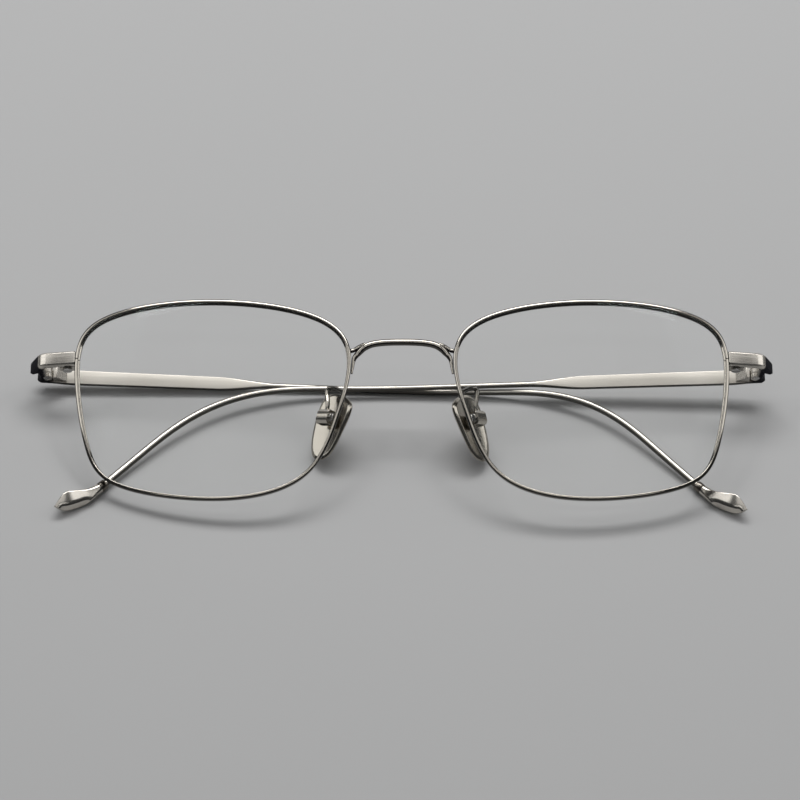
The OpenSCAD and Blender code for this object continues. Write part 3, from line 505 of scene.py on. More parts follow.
# %% Lens finish
def lens_finish(name, index, left_over):
    """Clear pane with a mirror on it: share = Fresnel * (left_over - leaving), never below 0,
    where leaving is 1 on the faces that light comes out of and 0 on the others."""
    material, tree, shader = material_tree(name)
    tree.nodes.remove(shader)
    clear = add_node(tree, "ShaderNodeBsdfTransparent", {"Color": (0.999, 1.0, 0.999, 1)})
    place = add_node(tree, "ShaderNodeTexCoord").outputs["Object"]
    film = add_node(tree, "ShaderNodeTexNoise", {"Vector": place, "Scale": 60.0, "Detail": 2.0})
    tint = add_node(tree, "ShaderNodeMix", {
        "Factor": film.outputs["Fac"], "A": (0.75, 1.0, 0.86, 1), "B": (0.86, 0.9, 1.0, 1)},
        data_type="RGBA")
    mirror = add_node(tree, "ShaderNodeBsdfGlossy", {
        "Color": tint.outputs["Result"], "Roughness": 0.02})
    share = add_node(tree, "ShaderNodeFresnel", {"IOR": index})
    leaving = add_node(tree, "ShaderNodeNewGeometry").outputs["Backfacing"]
    entering = add_node(tree, "ShaderNodeMath", {0: left_over, 1: leaving}, operation="SUBTRACT")
    coated = add_node(
        tree, "ShaderNodeMath", {0: share.outputs[0], 1: entering.outputs[0]},
        operation="MULTIPLY", use_clamp=True)
    both = add_node(tree, "ShaderNodeMixShader", {
        0: coated.outputs[0], 1: clear.outputs[0], 2: mirror.outputs[0]})
    out = next(n for n in tree.nodes if n.type == "OUTPUT_MATERIAL")
    tree.links.new(both.outputs[0], out.inputs["Surface"])
    return material


clear_lens = lens_finish("coated lens", 1.5, 0.12)

# %% [markdown]
# The rim is a thin bar, 0.75 mm wide and 1.3 mm deep, with a V groove inside that holds the
# lens's edge. It is one outline carried round the lens, from the closing block at the temple side
# back to it. The outer corners are rounded most, and the front ones catch the light as a fine
# bright line.

# %% Rims
RIM_W = 0.75
RIM_D = 1.3
GROOVE = 0.3
SOLDER = 0.05
END_H = 2.9
SPLIT = 0.2
RIM_OUT = RIM_W - GROOVE
GROOVE_HALF = 0.36
GROOVE_FLOOR = 0.1
LOWER_BLOCK_H = 1.0
split_y = HINGE_Y - END_H / 2 + LOWER_BLOCK_H + SPLIT / 2
rim_corners = [
    [-GROOVE, GROOVE_HALF], [0, GROOVE_FLOOR], [0, -GROOVE_FLOOR], [-GROOVE, -GROOVE_HALF],
    [-GROOVE, -RIM_D / 2], [RIM_OUT, -RIM_D / 2], [RIM_OUT, RIM_D / 2], [-GROOVE, RIM_D / 2]]
rim_outline = rounded(rim_corners, [0.04, 0.05, 0.05, 0.04, 0.09, 0.3, 0.4, 0.24])
rim_shares = np.linspace(
    share_at(split_y - SPLIT / 2, EAR_SIDE),
    len(OUTLINE) + share_at(split_y + SPLIT / 2, EAR_SIDE), 420)
rim_rings = edge_at(rim_shares, rim_outline[:, 0], rim_outline[:, 1])


def compare(piece, *nodes):
    """Prints how far a piece's box is from the box of the CAD nodes it stands for, in mm."""
    low, high = (np.array(v) for v in zip(*(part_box(n) for n in nodes)))
    points = np.empty(3 * len(piece.data.vertices), np.float32)
    piece.data.vertices.foreach_get("co", points)
    points = points.reshape(-1, 3)
    gap = max(abs(points.min(0) - low.min(0)).max(), abs(points.max(0) - high.max(0)).max())
    print(f"{piece.name}: {len(piece.data.polygons)} faces, {1000 * gap:.2f} mm off the CAD box")


for word, side in SIDES.items():
    compare(surface(
        f"rim_{word}", sided(rim_rings, side), polished, "front", f"{word}_rim"), f"{word}_rim")

# %% [markdown]
# A lens is drawn as rings that grow from its middle to the edge, go round the bevel that sits in
# the groove, and shrink again on the back. They follow the same outline as the rim, made smaller.

# %% Lenses
LENS_T = 1.2
LENS_IN = GROOVE + 0.1
BEVEL_HALF = 0.28
BEVEL_TIP = (-0.05, 0.03)
lens_shares = np.linspace(0, len(OUTLINE), 240, endpoint=False)


def lens_ring(f, n):
    """The lens's edge drawn f times as large about its middle, n in front of its middle layer."""
    edge = edge_at(lens_shares, -LENS_IN, 0)[:, 0]
    q = f * np.stack([edge[:, 0] - LENS_X, edge[:, 1]], -1)
    return lens_on(q) + n * lens_normal(q)


growing = np.linspace(0.02, 0.99, 14)
bevel = [
    (-LENS_IN, LENS_T / 2), (-LENS_IN, BEVEL_HALF), BEVEL_TIP,
    (BEVEL_TIP[0], -BEVEL_TIP[1]), (-LENS_IN, -BEVEL_HALF), (-LENS_IN, -LENS_T / 2)]
lens_rings = np.stack(
    [lens_ring(f, LENS_T / 2) for f in growing]
    + [edge_at(lens_shares, b, n)[:, 0] for b, n in bevel]
    + [lens_ring(f, -LENS_T / 2) for f in growing[::-1]])
for word, side in SIDES.items():
    compare(surface(
        f"lens_{word}", sided(lens_rings, side), clear_lens, "front", f"{word}_lens"), f"{word}_lens")

# %% [markdown]
# The bridge is one piece of round bar. It arches between the lenses, turns down at both ends,
# and thins to a foot that runs along the rim and is soldered there. A short branch leaves each
# shoulder and meets the rim above the foot, with a thin neck. Control points for one half are
# mirrored for the other.

# %% Bridge
BRIDGE_D = 1.3
BRIDGE_Y = 11.4
BRIDGE_Z = 1.0
BRIDGE_FOOT = 5.0
BRIDGE_ARCH = 1.4
BRIDGE_UP = [0, 0.2, 1]
foot_top = BRIDGE_Y - BRIDGE_ARCH


def foot_at(k, gap, r):
    """Place on the foot: its share of the foot's length, its gap to the rim and its radius."""
    share = share_at(foot_top - k * BRIDGE_FOOT, NOSE_SIDE)
    return edge_at(share, RIM_OUT + SOLDER + gap + r, 0)[0, 0]


knee = foot_at(0, 0.6, BRIDGE_D / 2)[0]
bridge_half = np.array([
    [0, BRIDGE_Y, BRIDGE_Z], [0.35 * knee, BRIDGE_Y - 0.05, BRIDGE_Z],
    [0.65 * knee, BRIDGE_Y - 0.35, BRIDGE_Z], [0.83 * knee, BRIDGE_Y - 1, BRIDGE_Z - 0.1],
    [0.945 * knee, BRIDGE_Y - 2, 0.5 * BRIDGE_Z], foot_at(0.32, 0.12, 0.5),
    foot_at(0.5, 0.02, 0.36), foot_at(0.75, 0.02, 0.26), foot_at(1, 0, 0.2)])
bridge_line = np.vstack([bridge_half[:0:-1] * [-1, 1, 1], bridge_half])
half_sizes = [BRIDGE_D] * 4 + [1.2, 1.0, 0.72, 0.52, 0.4]
bridge_sizes = half_sizes[:0:-1] + half_sizes
bridge_rings = tube(bridge_line, bridge_sizes, BRIDGE_UP, 300, 24)
compare(surface("bridge_bar", bridge_rings, polished, "front", "bridge"), "bridge")

branch_share = share_at(foot_top - 0.35, NOSE_SIDE)
neck_end = RIM_OUT + SOLDER + 0.12
branch_line = np.array([
    [0.8 * knee, BRIDGE_Y - 0.6, BRIDGE_Z - 0.05], [0.92 * knee, BRIDGE_Y - 0.9, 0.75 * BRIDGE_Z],
    edge_at(branch_share, neck_end + 0.5, 0)[0, 0], edge_at(branch_share, neck_end, 0)[0, 0],
    edge_at(branch_share, neck_end - 0.17, 0)[0, 0]])
branch_rings = tube(branch_line, [1.1, 1.05, 0.8, 0.84, 0.95], BRIDGE_UP, 60, 24)
for word, side in SIDES.items():
    surface(f"bridge_branch_{word}", sided(branch_rings, side), polished, "front")

# %% [markdown]
# The endpiece is a bevelled bar. It leaves the rim almost sideways, bends back in a tight round
# and ends in a slanting cut, where the opened temple closes against it. In plan the middle line
# is a straight, an arc and a straight. The outline is carried along that, square to it until the
# last rings turn to the cut. Those and the first ones shrink a little, to round the bar's ends.

# %% Endpieces
END_T = 1.1
END_LEN = 5.6
END_BEND_R = 2.0
END_LEAN = math.radians(10)
END_SIDE = math.radians(65)
MITRE = math.radians(28)
MITRE_REACH = 1.6
PLATE_T = 0.9
END_PROUD = 0.35
BUTT_GAP = 0.12
end_share = share_at(HINGE_Y, EAR_SIDE)
end_start = np.array([
    edge_at(end_share, RIM_OUT, 0)[0, 0, 0] + SOLDER + 0.05, edge_at(end_share, 0, 0)[0, 0, 2]])


def plan_dir(h):
    """Direction seen from above, (x, z), that is turned back by h from straight outwards."""
    return np.array([np.cos(h), -np.sin(h)])


def square_to(h):
    """Direction seen from above that is square to plan_dir(h) and points to the bend's middle."""
    return np.array([-np.sin(h), -np.cos(h)])


end_corner = end_start + END_LEN * plan_dir(END_LEAN)
end_centre = end_corner + END_BEND_R * square_to(END_LEAN)
end_turned = end_centre - END_BEND_R * square_to(END_SIDE)
end_cut = END_T / 2 / math.sin(END_SIDE - MITRE) * plan_dir(MITRE)
joint_z = (MITRE_REACH - HINGE_DEPTH - (PLATE_T / 2 + END_PROUD) * math.tan(MITRE)
           + BUTT_GAP / math.cos(MITRE))
end_run = (end_turned[1] + end_cut[1] - joint_z) / math.sin(END_SIDE)
end_back = end_turned + end_run * plan_dir(END_SIDE)
along_cut = -end_cut / (END_T / 2)
END_BEVEL = 0.35
end_outline = rounded([
    [END_H / 2, END_T / 2], [-END_H / 2, END_T / 2], [-END_H / 2, END_BEVEL - END_T / 2],
    [END_BEVEL - END_H / 2, -END_T / 2], [END_H / 2 - END_BEVEL, -END_T / 2],
    [END_H / 2, END_BEVEL - END_T / 2]], [0.12, 0.12, 0.08, 0.08, 0.08, 0.08])


def end_ring(p, over, high=1.0, thick=1.0):
    """The outline at a place in plan, its thickness laid along the direction over."""
    flat = p + thick * end_outline[:, 1:] * over
    return np.stack([flat[:, 0], HINGE_Y + high * end_outline[:, 0], flat[:, 1]], -1)


bend = np.linspace(END_LEAN, END_SIDE, 24)
end_rings = np.stack(
    [end_ring(end_start, square_to(END_LEAN), 0.88, 0.88),
     end_ring(end_start + 0.05 * plan_dir(END_LEAN), square_to(END_LEAN), 0.96, 0.96),
     end_ring(end_start + 0.15 * plan_dir(END_LEAN), square_to(END_LEAN))]
    + [end_ring(end_centre - END_BEND_R * square_to(h), square_to(h)) for h in bend]
    + [end_ring(end_back - 0.7 * plan_dir(END_SIDE), along_cut),
       end_ring(end_back - 0.45 * plan_dir(END_SIDE), along_cut, 0.98),
       end_ring(end_back - 0.25 * plan_dir(END_SIDE), along_cut, 0.92),
       end_ring(end_back - 0.08 * plan_dir(END_SIDE), along_cut, 0.84, 0.97),
       end_ring(end_back, along_cut, 0.72, 0.92)])
for word, side in SIDES.items():
    compare(surface(
        f"endpiece_{word}", sided(end_rings, side), bevelled, "front", f"{word}_endpiece",
        sharp=25), f"{word}_endpiece")

# %% [markdown]
# Small blocks, hinge leaves, boxes and screws have the right shape already, but their edges are
# as sharp as a drawing. Real ones are tumbled, and each edge shows as a thread of light. A copy
# of the CAD solid gets its loose triangles joined, its flat faces made whole and its sharp edges
# rounded by a bevel.

# %% Softened copies of the small solids
WELD = 1e-6
FLAT, SMOOTH, SHARP = math.radians(1.5), math.radians(30), math.radians(35)


def softened(node, material, width):
    """A copy of a CAD solid: points within WELD are joined, faces within FLAT of each other made
    one, and edges over SHARP rounded by width, in mm."""
    cad = frame["nodes"][node]
    shape = bmesh.new()
    shape.from_mesh(cad.data)
    bmesh.ops.remove_doubles(shape, verts=shape.verts, dist=WELD)
    bmesh.ops.dissolve_limit(shape, angle_limit=FLAT, verts=shape.verts, edges=shape.edges)
    mesh = bpy.data.meshes.new(node + "_soft")
    shape.to_mesh(mesh)
    shape.free()
    mesh.shade_smooth()
    mesh.set_sharp_from_angle(angle=SMOOTH)
    piece = bpy.data.objects.new(node + "_soft", mesh)
    bpy.context.scene.collection.objects.link(piece)
    mesh.materials.append(material)
    round_off = piece.modifiers.new("round_off", "BEVEL")
    round_off.width = width / 1000
    round_off.segments = 2
    round_off.limit_method = "ANGLE"
    round_off.angle_limit = SHARP
    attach(piece, cad["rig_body"])
    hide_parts(node)


for word in SIDES:
    for part in ("upper_block", "lower_block", "pad_box"):
        softened(f"{word}_{part}", cast, 0.07)
    for part in ("front_hinge", "temple_hinge"):
        softened(f"{word}_{part}", leaf, 0.07)
    for part in ("closing_screw", "hinge_screw", "pad_screw"):
        softened(f"{word}_{part}", steel, 0.04)

# %% [markdown]
# A temple starts as a flat bar, tapers to a round wire, falls and turns in round the ear, and
# ends inside the tip. Its middle line is found by adding up small steps, each in the direction
# that the bar has there. The whole bar is then turned about the hinge pin by its fold.

# %% Path of a temple
TEMPLE_LEN = 145.0
PIN_TO_TEMPLE = 1.8
FALL = 1.5
LEAD = 1.0
BOW_START = 64.0
BOW_RADIUS = 185.0
TIP_LEN = 10.0
TIP_TURN = 27.0
EAR = {"left": (81.0, 43.0, 44.0), "right": (87.0, 34.5, 45.5)}
FOLD = {"left": math.radians(-0.2838), "right": math.radians(-1.4546)}
PATH_STEP = 0.05


def plan_angle(s):
    """Turn in plan at a distance s: -lead, then (s - bow_start) / bow_radius more."""
    return np.radians(-LEAD) + np.maximum(0, s - BOW_START) / BOW_RADIUS


def fall_angle(s, ear):
    """Turn downwards: a steady fall, the ear bend eased over its length, less the tip's turn."""
    start, length, bend_by = ear
    turned_up = TIP_TURN * clamp01((s - TEMPLE_LEN + TIP_LEN + 1) / TIP_LEN)
    return np.radians(FALL + bend_by * smooth((s - start) / length) - turned_up)


def bar_dir(s, ear):
    """Direction of the bar at a distance s, from its turn in plan and its turn downwards."""
    a, e = plan_angle(s), fall_angle(s, ear)
    return np.stack([-np.cos(e) * np.cos(a), -np.sin(e), np.cos(e) * np.sin(a)], -1)


def bar_path(stops, ear):
    """Middle of the bar at the stops: the sum of the small steps along bar_dir."""
    s = np.arange(-MITRE_REACH, TEMPLE_LEN + 0.5, PATH_STEP)
    steps = PATH_STEP * bar_dir((s[1:] + s[:-1]) / 2, ear)
    total = np.vstack([[0, 0, 0], np.cumsum(steps, 0)])
    total += [MITRE_REACH, 0, -PIN_TO_TEMPLE - PLATE_T / 2]
    return np.stack([np.interp(stops, s, total[:, n]) for n in range(3)], -1)


def bar_rings(stops, ear, outlines):
    """Outlines square to the bar: centre + height * u + thickness * w. Ahead of the pin the
    rings slant by the mitre, so that the bar's end is the slanting cut."""
    a, e = plan_angle(stops), fall_angle(stops, ear)
    ahead = bar_dir(stops, ear)
    slant = np.where(stops < 0, math.tan(MITRE), 0.0)[:, None]
    w = np.stack([np.sin(a), 0 * a, np.cos(a)], -1) - slant * ahead
    u = np.stack([-np.sin(e) * np.cos(a), np.cos(e), np.sin(e) * np.sin(a)], -1)
    return (bar_path(stops, ear)[:, None] + outlines[..., :1] * u[:, None]
            + outlines[..., 1:] * w[:, None])


def folded(rings, word):
    """Turned about the hinge pin by the fold, then mirrored for the right."""
    c, s = math.cos(FOLD[word]), math.sin(FOLD[word])
    x, y, z = rings[..., 0], rings[..., 1], rings[..., 2]
    turned = np.stack([x * c + z * s, y, z * c - x * s], -1)
    return sided(turned + [hinge_x, HINGE_Y, -HINGE_DEPTH], SIDES[word])


# %% [markdown]
# The bar is a little less high at the hinge, 2.9 mm where the flat part starts and 2.6 mm where it
# ends. Then the height runs down to the wire's diameter, and the thickness grows to it. The corner
# radius grows at the same time, from a crisp edge on the flat part to a full round.

# %% Temples
PLATE_H = 2.9
PLATE_H_END = 2.6
PLATE_LEN = 33.0
TAPER_LEN = 11.0
WIRE_D = 1.1
EAR_WIRE_D = 1.3
EAR_SWELL = 40.0
ROOT_LEN = 5.0
ROOT_LESS = 0.5
PLATE_CORNER = 0.16
TIP_SOCKET = 4.0
WIRE_END = TEMPLE_LEN - TIP_LEN + TIP_SOCKET


def wire_at(s):
    """Diameter of the wire: it grows evenly towards the ear."""
    return mix(WIRE_D, EAR_WIRE_D, (s - BOW_START) / EAR_SWELL)


def bar_height(s):
    """Height of the bar: eased up at the root, evenly down the flat part, eased to the wire."""
    root = mix(PLATE_H - ROOT_LESS, PLATE_H, smooth(s / ROOT_LEN))
    flat = mix(root, PLATE_H_END, (s - ROOT_LEN) / (PLATE_LEN - ROOT_LEN))
    return mix(flat, wire_at(s), smooth((s - PLATE_LEN) / TAPER_LEN))


def bar_thickness(s):
    """Thickness of the bar: even on the flat part, then evenly to the wire's diameter."""
    return mix(PLATE_T, wire_at(s), (s - PLATE_LEN) / TAPER_LEN)


def bar_outlines(s):
    """Outlines of the bar, with corners that grow to all but half of its smaller size."""
    h, t = bar_height(s), bar_thickness(s)
    corner = mix(PLATE_CORNER, 0.498 * np.minimum(h, t), (s - PLATE_LEN) / TAPER_LEN)
    return box_outline(h, t, corner)


bar_stops = np.concatenate([
    [-MITRE_REACH, -1.52, -1.35, -1.2, 0.3, 0.6], np.linspace(1, 5, 9), np.arange(8, PLATE_LEN, 4),
    np.linspace(PLATE_LEN, PLATE_LEN + TAPER_LEN, 30), np.linspace(46, 80, 18),
    np.linspace(81, WIRE_END, 110)])
outlines = bar_outlines(bar_stops)
outlines[:3, :, 0] *= np.array([[0.84], [0.93], [0.98]])
for word in SIDES:
    compare(surface(
        f"temple_bar_{word}", folded(bar_rings(bar_stops, EAR[word], outlines), word), brushed,
        f"{word}_temple", f"{word}_temple", sharp=25), f"{word}_temple")

# %% [markdown]
# Where the wire meets the tip sits a small collar, a ring with chamfered edges and a darker
# finish. After it comes the tip, a leaf of metal: narrow at the collar, fullest at two thirds of
# its length and pointed at the end. The leaf's face curves down to a steeper facet along its
# lower edge. The facet fades out towards the collar and the point.

# %% Collars and tips
COLLAR_D = 2.0
COLLAR_LEN = 1.6
TIP_H = 3.4
TIP_T = 1.8
TIP_PEAK = 0.68
TIP_LIFT = 0.45
FACET = 0.65
FACET_SLOPE = 1.5
CURVE_FROM = 0.8
CURVE = 0.22
BORE_CLEAR = 0.03
POINT_H = 0.25
tip_start = TEMPLE_LEN - TIP_LEN
bore = EAR_WIRE_D + 2 * BORE_CLEAR


def round_outlines(sizes):
    """Round outlines of the given diameters: boxes whose corners take up nearly everything."""
    sizes = np.asarray(sizes, float)
    return box_outline(sizes, sizes, 0.499 * sizes)


collar_end = tip_start - SOLDER
collar_from = tip_start - COLLAR_LEN
collar_places = np.array([
    collar_end, collar_end, collar_end - 0.05, collar_end - 0.2, collar_from + 0.2,
    collar_from + 0.05, collar_from, collar_from])
collar_sizes = [bore, COLLAR_D - 0.4, COLLAR_D - 0.12, COLLAR_D, COLLAR_D, COLLAR_D - 0.12,
                COLLAR_D - 0.4, bore]


def tip_height(k):
    """Height of the leaf at a share k of its length: eased up to the peak, then a parabola."""
    after = 1 - ((k - TIP_PEAK) / (1 - TIP_PEAK)) ** 2
    swell = np.where(k < TIP_PEAK, smooth(k / TIP_PEAK), after)
    neck = np.where(k < TIP_PEAK, COLLAR_D - 0.1, 0)
    return np.maximum(POINT_H, neck * (1 - swell) + TIP_H * swell)


def tip_rise(k):
    """How far the leaf's middle stands above the wire's line: it gives the upper edge a
    shoulder and leaves the lower edge nearly straight."""
    return TIP_LIFT * smooth((k - 0.25) / 0.45) * (1 - smooth((k - TIP_PEAK) / (1 - TIP_PEAK)))


def tip_thickness(k):
    """Thickness of the leaf: from the neck's to TIP_T in 0.3 of its length, even to 0.6, then a
    parabola down to a quarter of that at the point."""
    thin = np.where(k > 0.6, 1 - 0.75 * ((k - 0.6) / 0.4) ** 2, 1)
    return mix(COLLAR_D - 0.1, TIP_T, k / 0.3) * thin


tip_k = np.concatenate([np.linspace(0, 0.9, 46), np.linspace(0.91, 1, 12)])
tip_h, tip_t = tip_height(tip_k)[:, None], tip_thickness(tip_k)[:, None]
tip_corner = mix(0.46, 0.14, tip_k[:, None] / 0.4) * np.minimum(tip_h, tip_t)
tip_outlines = box_outline(tip_h[:, 0], tip_t[:, 0], tip_corner[:, 0])
facet = FACET * smooth((tip_k - 0.2) / 0.25) * smooth((1 - tip_k) / 0.15)
facet_top = facet[:, None] - tip_h / 2
straight = tip_h / 2 - tip_corner
front_h = np.clip(facet_top + [0.8, 0.6, 0.4, 0.2, 0.03, -0.03], -straight, straight)
front_line = np.stack([front_h, np.broadcast_to(tip_t / 2, front_h.shape)], -1)
first_corner, other_corners = np.split(tip_outlines, [CORNER_STEPS + 1], 1)
tip_outlines = np.concatenate([first_corner, front_line, other_corners], 1)
ready = (facet / FACET)[:, None] * tip_t / TIP_T
curved = np.clip((facet_top + CURVE_FROM - tip_outlines[..., 0]) / CURVE_FROM, 0, 1)
below = np.maximum(facet_top - tip_outlines[..., 0], 0)
drop = ready * (CURVE * curved**2 + FACET_SLOPE * below)
tip_outlines[..., 1] = np.maximum(
    np.minimum(tip_outlines[..., 1], tip_t / 2 - drop), -tip_t / 2)
tip_outlines[..., 0] += tip_rise(tip_k)[:, None]
for word in SIDES:
    collar = bar_rings(collar_places, EAR[word], round_outlines(collar_sizes))
    compare(surface(
        f"tip_collar_{word}", folded(collar, word), darkened, f"{word}_temple",
        f"{word}_tip_collar", loop=True), f"{word}_tip_collar")
    tip = bar_rings(tip_start + TIP_LEN * tip_k, EAR[word], tip_outlines)
    compare(surface(
        f"tip_{word}", folded(tip, word), satin, f"{word}_temple", f"{word}_temple_tip",
        sharp=25), f"{word}_temple_tip")

# %% [markdown]
# A nose pad is a small metal plate. Its outline is a smooth loop of ten control points. The loop
# grows over the slightly crowned face to a narrow bevel, and shrinks again over a wider bevel and
# the back, which is hollowed across the pad's width. The pad is drawn flat, x across, y up its
# length and z out of its back, then splayed to the side of the nose, pitched and leaned.

# %% Nose pads
PAD_LEN = 13.5
PAD_W = 8.4
PAD_T = 1.1
PAD_BEVEL = 0.35
PAD_DISH = 0.45
PAD_CROWN = 0.15
PAD_POINTS = 160
BACK_RINGS = 16
PAD_EDGE = np.array([10.5, -4.7, -2.3])
PAD_PITCH = math.radians(8)
PAD_LEAN = math.radians(13.5)
SPLAY = {"left": math.radians(46), "right": math.radians(38)}
PAD_OUTLINE = np.array([
    [0.98, 0.25], [0.95, -0.51], [0.63, -1.03], [-0.01, -0.99], [-0.46, -0.81],
    [-0.79, -0.1], [-1.1, 0.54], [-0.87, 0.8], [0.24, 1.08], [0.9, 0.85]])


def on_pad(points, word):
    """Shifted by half the pad's width, turned about y by the splay, about x by the pitch and
    about z by the lean, then moved to PAD_EDGE."""
    p = np.asarray(points, float) + [PAD_W / 2, 0, 0]
    c, s = math.cos(SPLAY[word]), math.sin(SPLAY[word])
    p = np.stack([p[..., 0] * c + p[..., 2] * s, p[..., 1], p[..., 2] * c - p[..., 0] * s], -1)
    c, s = math.cos(PAD_PITCH), math.sin(PAD_PITCH)
    p = np.stack([p[..., 0], p[..., 1] * c - p[..., 2] * s, p[..., 1] * s + p[..., 2] * c], -1)
    c, s = math.cos(PAD_LEAN), math.sin(PAD_LEAN)
    p = np.stack([p[..., 0] * c - p[..., 1] * s, p[..., 0] * s + p[..., 1] * c, p[..., 2]], -1)
    return p + PAD_EDGE


pad_loop = loop_point(
    PAD_OUTLINE, np.linspace(0, len(PAD_OUTLINE), PAD_POINTS, endpoint=False))
crown_in = np.linspace(3.9, PAD_BEVEL + 0.05, 12)
bevel_in = np.array([1, 0.88, 0.12, 0, 0, 0.2, 1.5, 1.7]) * PAD_BEVEL
bevel_z = np.array([0.03, 0.12, 0.88, 1.08]) * PAD_BEVEL - PAD_T / 2
back_in = np.linspace(1.8 * PAD_BEVEL, 4.1, BACK_RINGS)
pad_inset = np.concatenate([crown_in, bevel_in, back_in])
pad_z = np.concatenate([
    -PAD_T / 2 - PAD_CROWN * smooth((crown_in - PAD_BEVEL) / 1.6), bevel_z,
    PAD_T / 2 - np.array([1.5, 0.85, 0.12, 0.03]) * PAD_BEVEL, np.full(BACK_RINGS, PAD_T / 2)])
pad_rings = np.stack([
    (PAD_W / 2 - pad_inset[:, None]) * pad_loop[:, 0],
    (PAD_LEN / 2 - pad_inset[:, None]) * pad_loop[:, 1],
    np.broadcast_to(pad_z[:, None], (len(pad_z), PAD_POINTS))], -1)
on_back = clamp01((pad_rings[..., 2] + PAD_T / 2) / PAD_T)
pad_rings[..., 2] -= PAD_DISH * on_back * (1 - (pad_rings[..., 0] / (PAD_W / 2)) ** 2)
for word, side in SIDES.items():
    compare(surface(
        f"nose_pad_{word}", sided(on_pad(pad_rings, word), side), matt, f"{word}_pad",
        f"{word}_pad"), f"{word}_pad")

# %% [markdown]
# Behind the pad stands a tab with a hole, and it sits in the pad box on a screw. The tab is a
# ring too: its outer edge is wherever a ray from the hole's middle leaves a shape with a round
# top and straight sides, and its inner edge is the hole.

# %% Pad tabs
BOX_Y = 1.2
BOX_H = 2.1
BOX_LEN = 2.8
SCREW_Z = PAD_T / 2 + 0.4 + BOX_H / 2
TAB_T = 1.0
TAB_R = 0.65
TAB_EDGE = 0.06
TAB_POINTS = 48
PAD_SCREW_D = 0.9
TINY = 1e-6
turn_round = np.linspace(0, 2 * np.pi, TAB_POINTS, endpoint=False)
cos_t, sin_t = np.cos(turn_round), np.sin(turn_round)
deep = SCREW_Z - PAD_T / 2 + PAD_DISH + 0.1
down = np.minimum(
    TAB_R / np.maximum(abs(cos_t), TINY), deep / np.maximum(-sin_t, TINY))
reach = np.where(sin_t < 0, down, TAB_R)
tab_x = np.array([-0.5, -0.44, 0.44, 0.5, 0.5, -0.5]) * TAB_T
hole = np.full(TAB_POINTS, PAD_SCREW_D / 2 + BORE_CLEAR)
tab_r = [reach - TAB_EDGE, reach, reach, reach - TAB_EDGE, hole, hole]
tab_rings = np.stack([
    np.stack([np.full(TAB_POINTS, x), BOX_Y + r * cos_t, SCREW_Z + r * sin_t], -1)
    for x, r in zip(tab_x, tab_r)])
for word, side in SIDES.items():
    surface(f"pad_tab_{word}", sided(on_pad(tab_rings, word), side), cast, f"{word}_pad", loop=True)

# %% [markdown]
# The pad arm is soldered to the back of the rim, swings back and outwards, and comes down on the
# pad box. The two pads are splayed differently, so both arms differ a little on this frame.

# %% Pad arms
ARM_D = 0.95
ARM_Y = 1.4
arm_share = share_at(ARM_Y, NOSE_SIDE)
arm_foot = edge_at(arm_share, 0, -RIM_D / 2 - SOLDER - ARM_D / 2)[0, 0]
arm_sizes = [ARM_D] * 6 + [0.9 * ARM_D, 0.85 * ARM_D]
box_end = np.array([0, BOX_Y + BOX_LEN / 2, SCREW_Z])
for word, side in SIDES.items():
    arm_line = np.array([
        arm_foot + [0.1, -0.9, 0], arm_foot, arm_foot + [0.9, 1, -1.1], [13, 3.3, -2.3],
        [14.1, 3.7, -3.1], [14.4, 2.6, -3.4], on_pad(box_end + [0, 1.2, 0.1], word),
        on_pad(box_end + [0, SOLDER, 0], word)])
    arm = tube(arm_line, arm_sizes, [1, 0.3, 0.2], 150)
    compare(surface(
        f"pad_arm_{word}", sided(arm, side), polished, "front", f"{word}_pad_arm"),
        f"{word}_pad_arm")

# %% [markdown]
# The table is plain and pale. Only the shadow of the wires falls on it, so it needs to be even,
# with just a breath of tone so that it doesn't look like empty space.

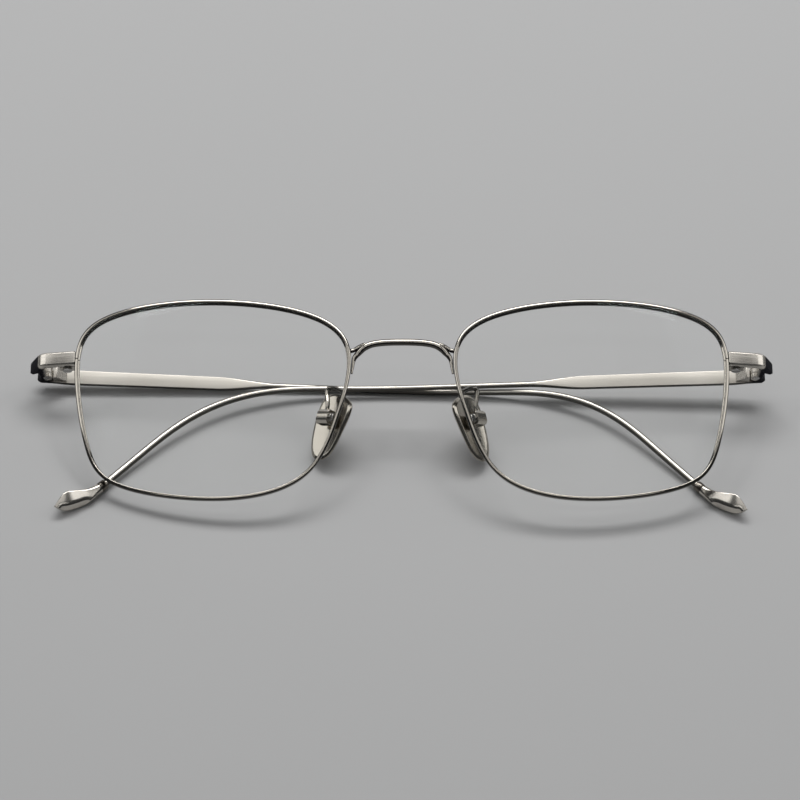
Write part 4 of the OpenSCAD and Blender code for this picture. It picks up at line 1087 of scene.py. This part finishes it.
# %% Table
def table_finish(name, tone):
    """A dull even surface that drifts between its tone and 0.97 of that tone."""
    material, tree, shader = material_tree(name)
    place = add_node(tree, "ShaderNodeTexCoord").outputs["Object"]
    mottle = add_node(tree, "ShaderNodeTexNoise", {"Vector": place, "Scale": 9.0, "Detail": 4.0})
    mixed = add_node(tree, "ShaderNodeMix", {
        "Factor": mottle.outputs["Fac"], "A": (*[0.97 * c for c in tone], 1), "B": (*tone, 1)},
        data_type="RGBA")
    tree.links.new(mixed.outputs["Result"], shader.inputs["Base Color"])
    shader.inputs["Roughness"].default_value = 0.7
    shader.inputs["Specular IOR Level"].default_value = 0.2
    return material


TABLE_TONE = (0.42, 0.42, 0.42)
TABLE_HALF = 1.6
corners = [(x * TABLE_HALF, y * TABLE_HALF, 0) for x, y in ((-1, -1), (1, -1), (1, 1), (-1, 1))]
table = bpy.data.objects.new("table", bpy.data.meshes.new("table"))
table.data.from_pydata(corners, [], [(0, 1, 2, 3)])
table.data.materials.append(table_finish("pale table", TABLE_TONE))
bpy.context.scene.collection.objects.link(table)

# %% [markdown]
# The light is that of a product table. One long softbox behind and above draws the bright line
# along the wires. Weaker panels help it: one overhead and a narrow one in front, so that the near
# sides aren't black, a low card behind, and one on each side. The room itself is dim.

# %% Lights
def softbox(name, place, size, power):
    """A flat rectangular lamp at a place, in m, that faces the glasses. Power is in watts."""
    lamp = bpy.data.lights.new(name, "AREA")
    lamp.shape = "RECTANGLE"
    lamp.size, lamp.size_y = size
    lamp.energy = power
    holder = bpy.data.objects.new(name, lamp)
    bpy.context.scene.collection.objects.link(holder)
    holder.location = place
    holder.rotation_mode = "QUATERNION"
    holder.rotation_quaternion = Vector(place).to_track_quat("Z", "Y")


softbox("long softbox", (0.0, 0.5, 0.8), (0.9, 0.32), 7.3)
softbox("ceiling panel", (0.0, 0.03, 1.0), (0.6, 0.6), 0.85)
softbox("front strip", (0.0, -0.42, 0.92), (1.0, 0.12), 0.7)
softbox("back card", (0.0, 1.0, 0.16), (2.0, 0.22), 1.2)
for word, side in SIDES.items():
    softbox(f"{word} panel", (0.77 * side, 0.25, 0.64), (0.45, 0.85), 2.0)
ROOM_COLOUR = (0.9, 0.95, 1.0, 1)
ROOM_LIGHT = 0.04
world = bpy.data.worlds.new("room")
bpy.context.scene.world = world
world.use_nodes = True
room = world.node_tree.nodes["Background"]
room.inputs["Color"].default_value = ROOM_COLOUR
room.inputs["Strength"].default_value = ROOM_LIGHT

# %% Finish
bpy.context.scene.view_settings.view_transform = "Standard"
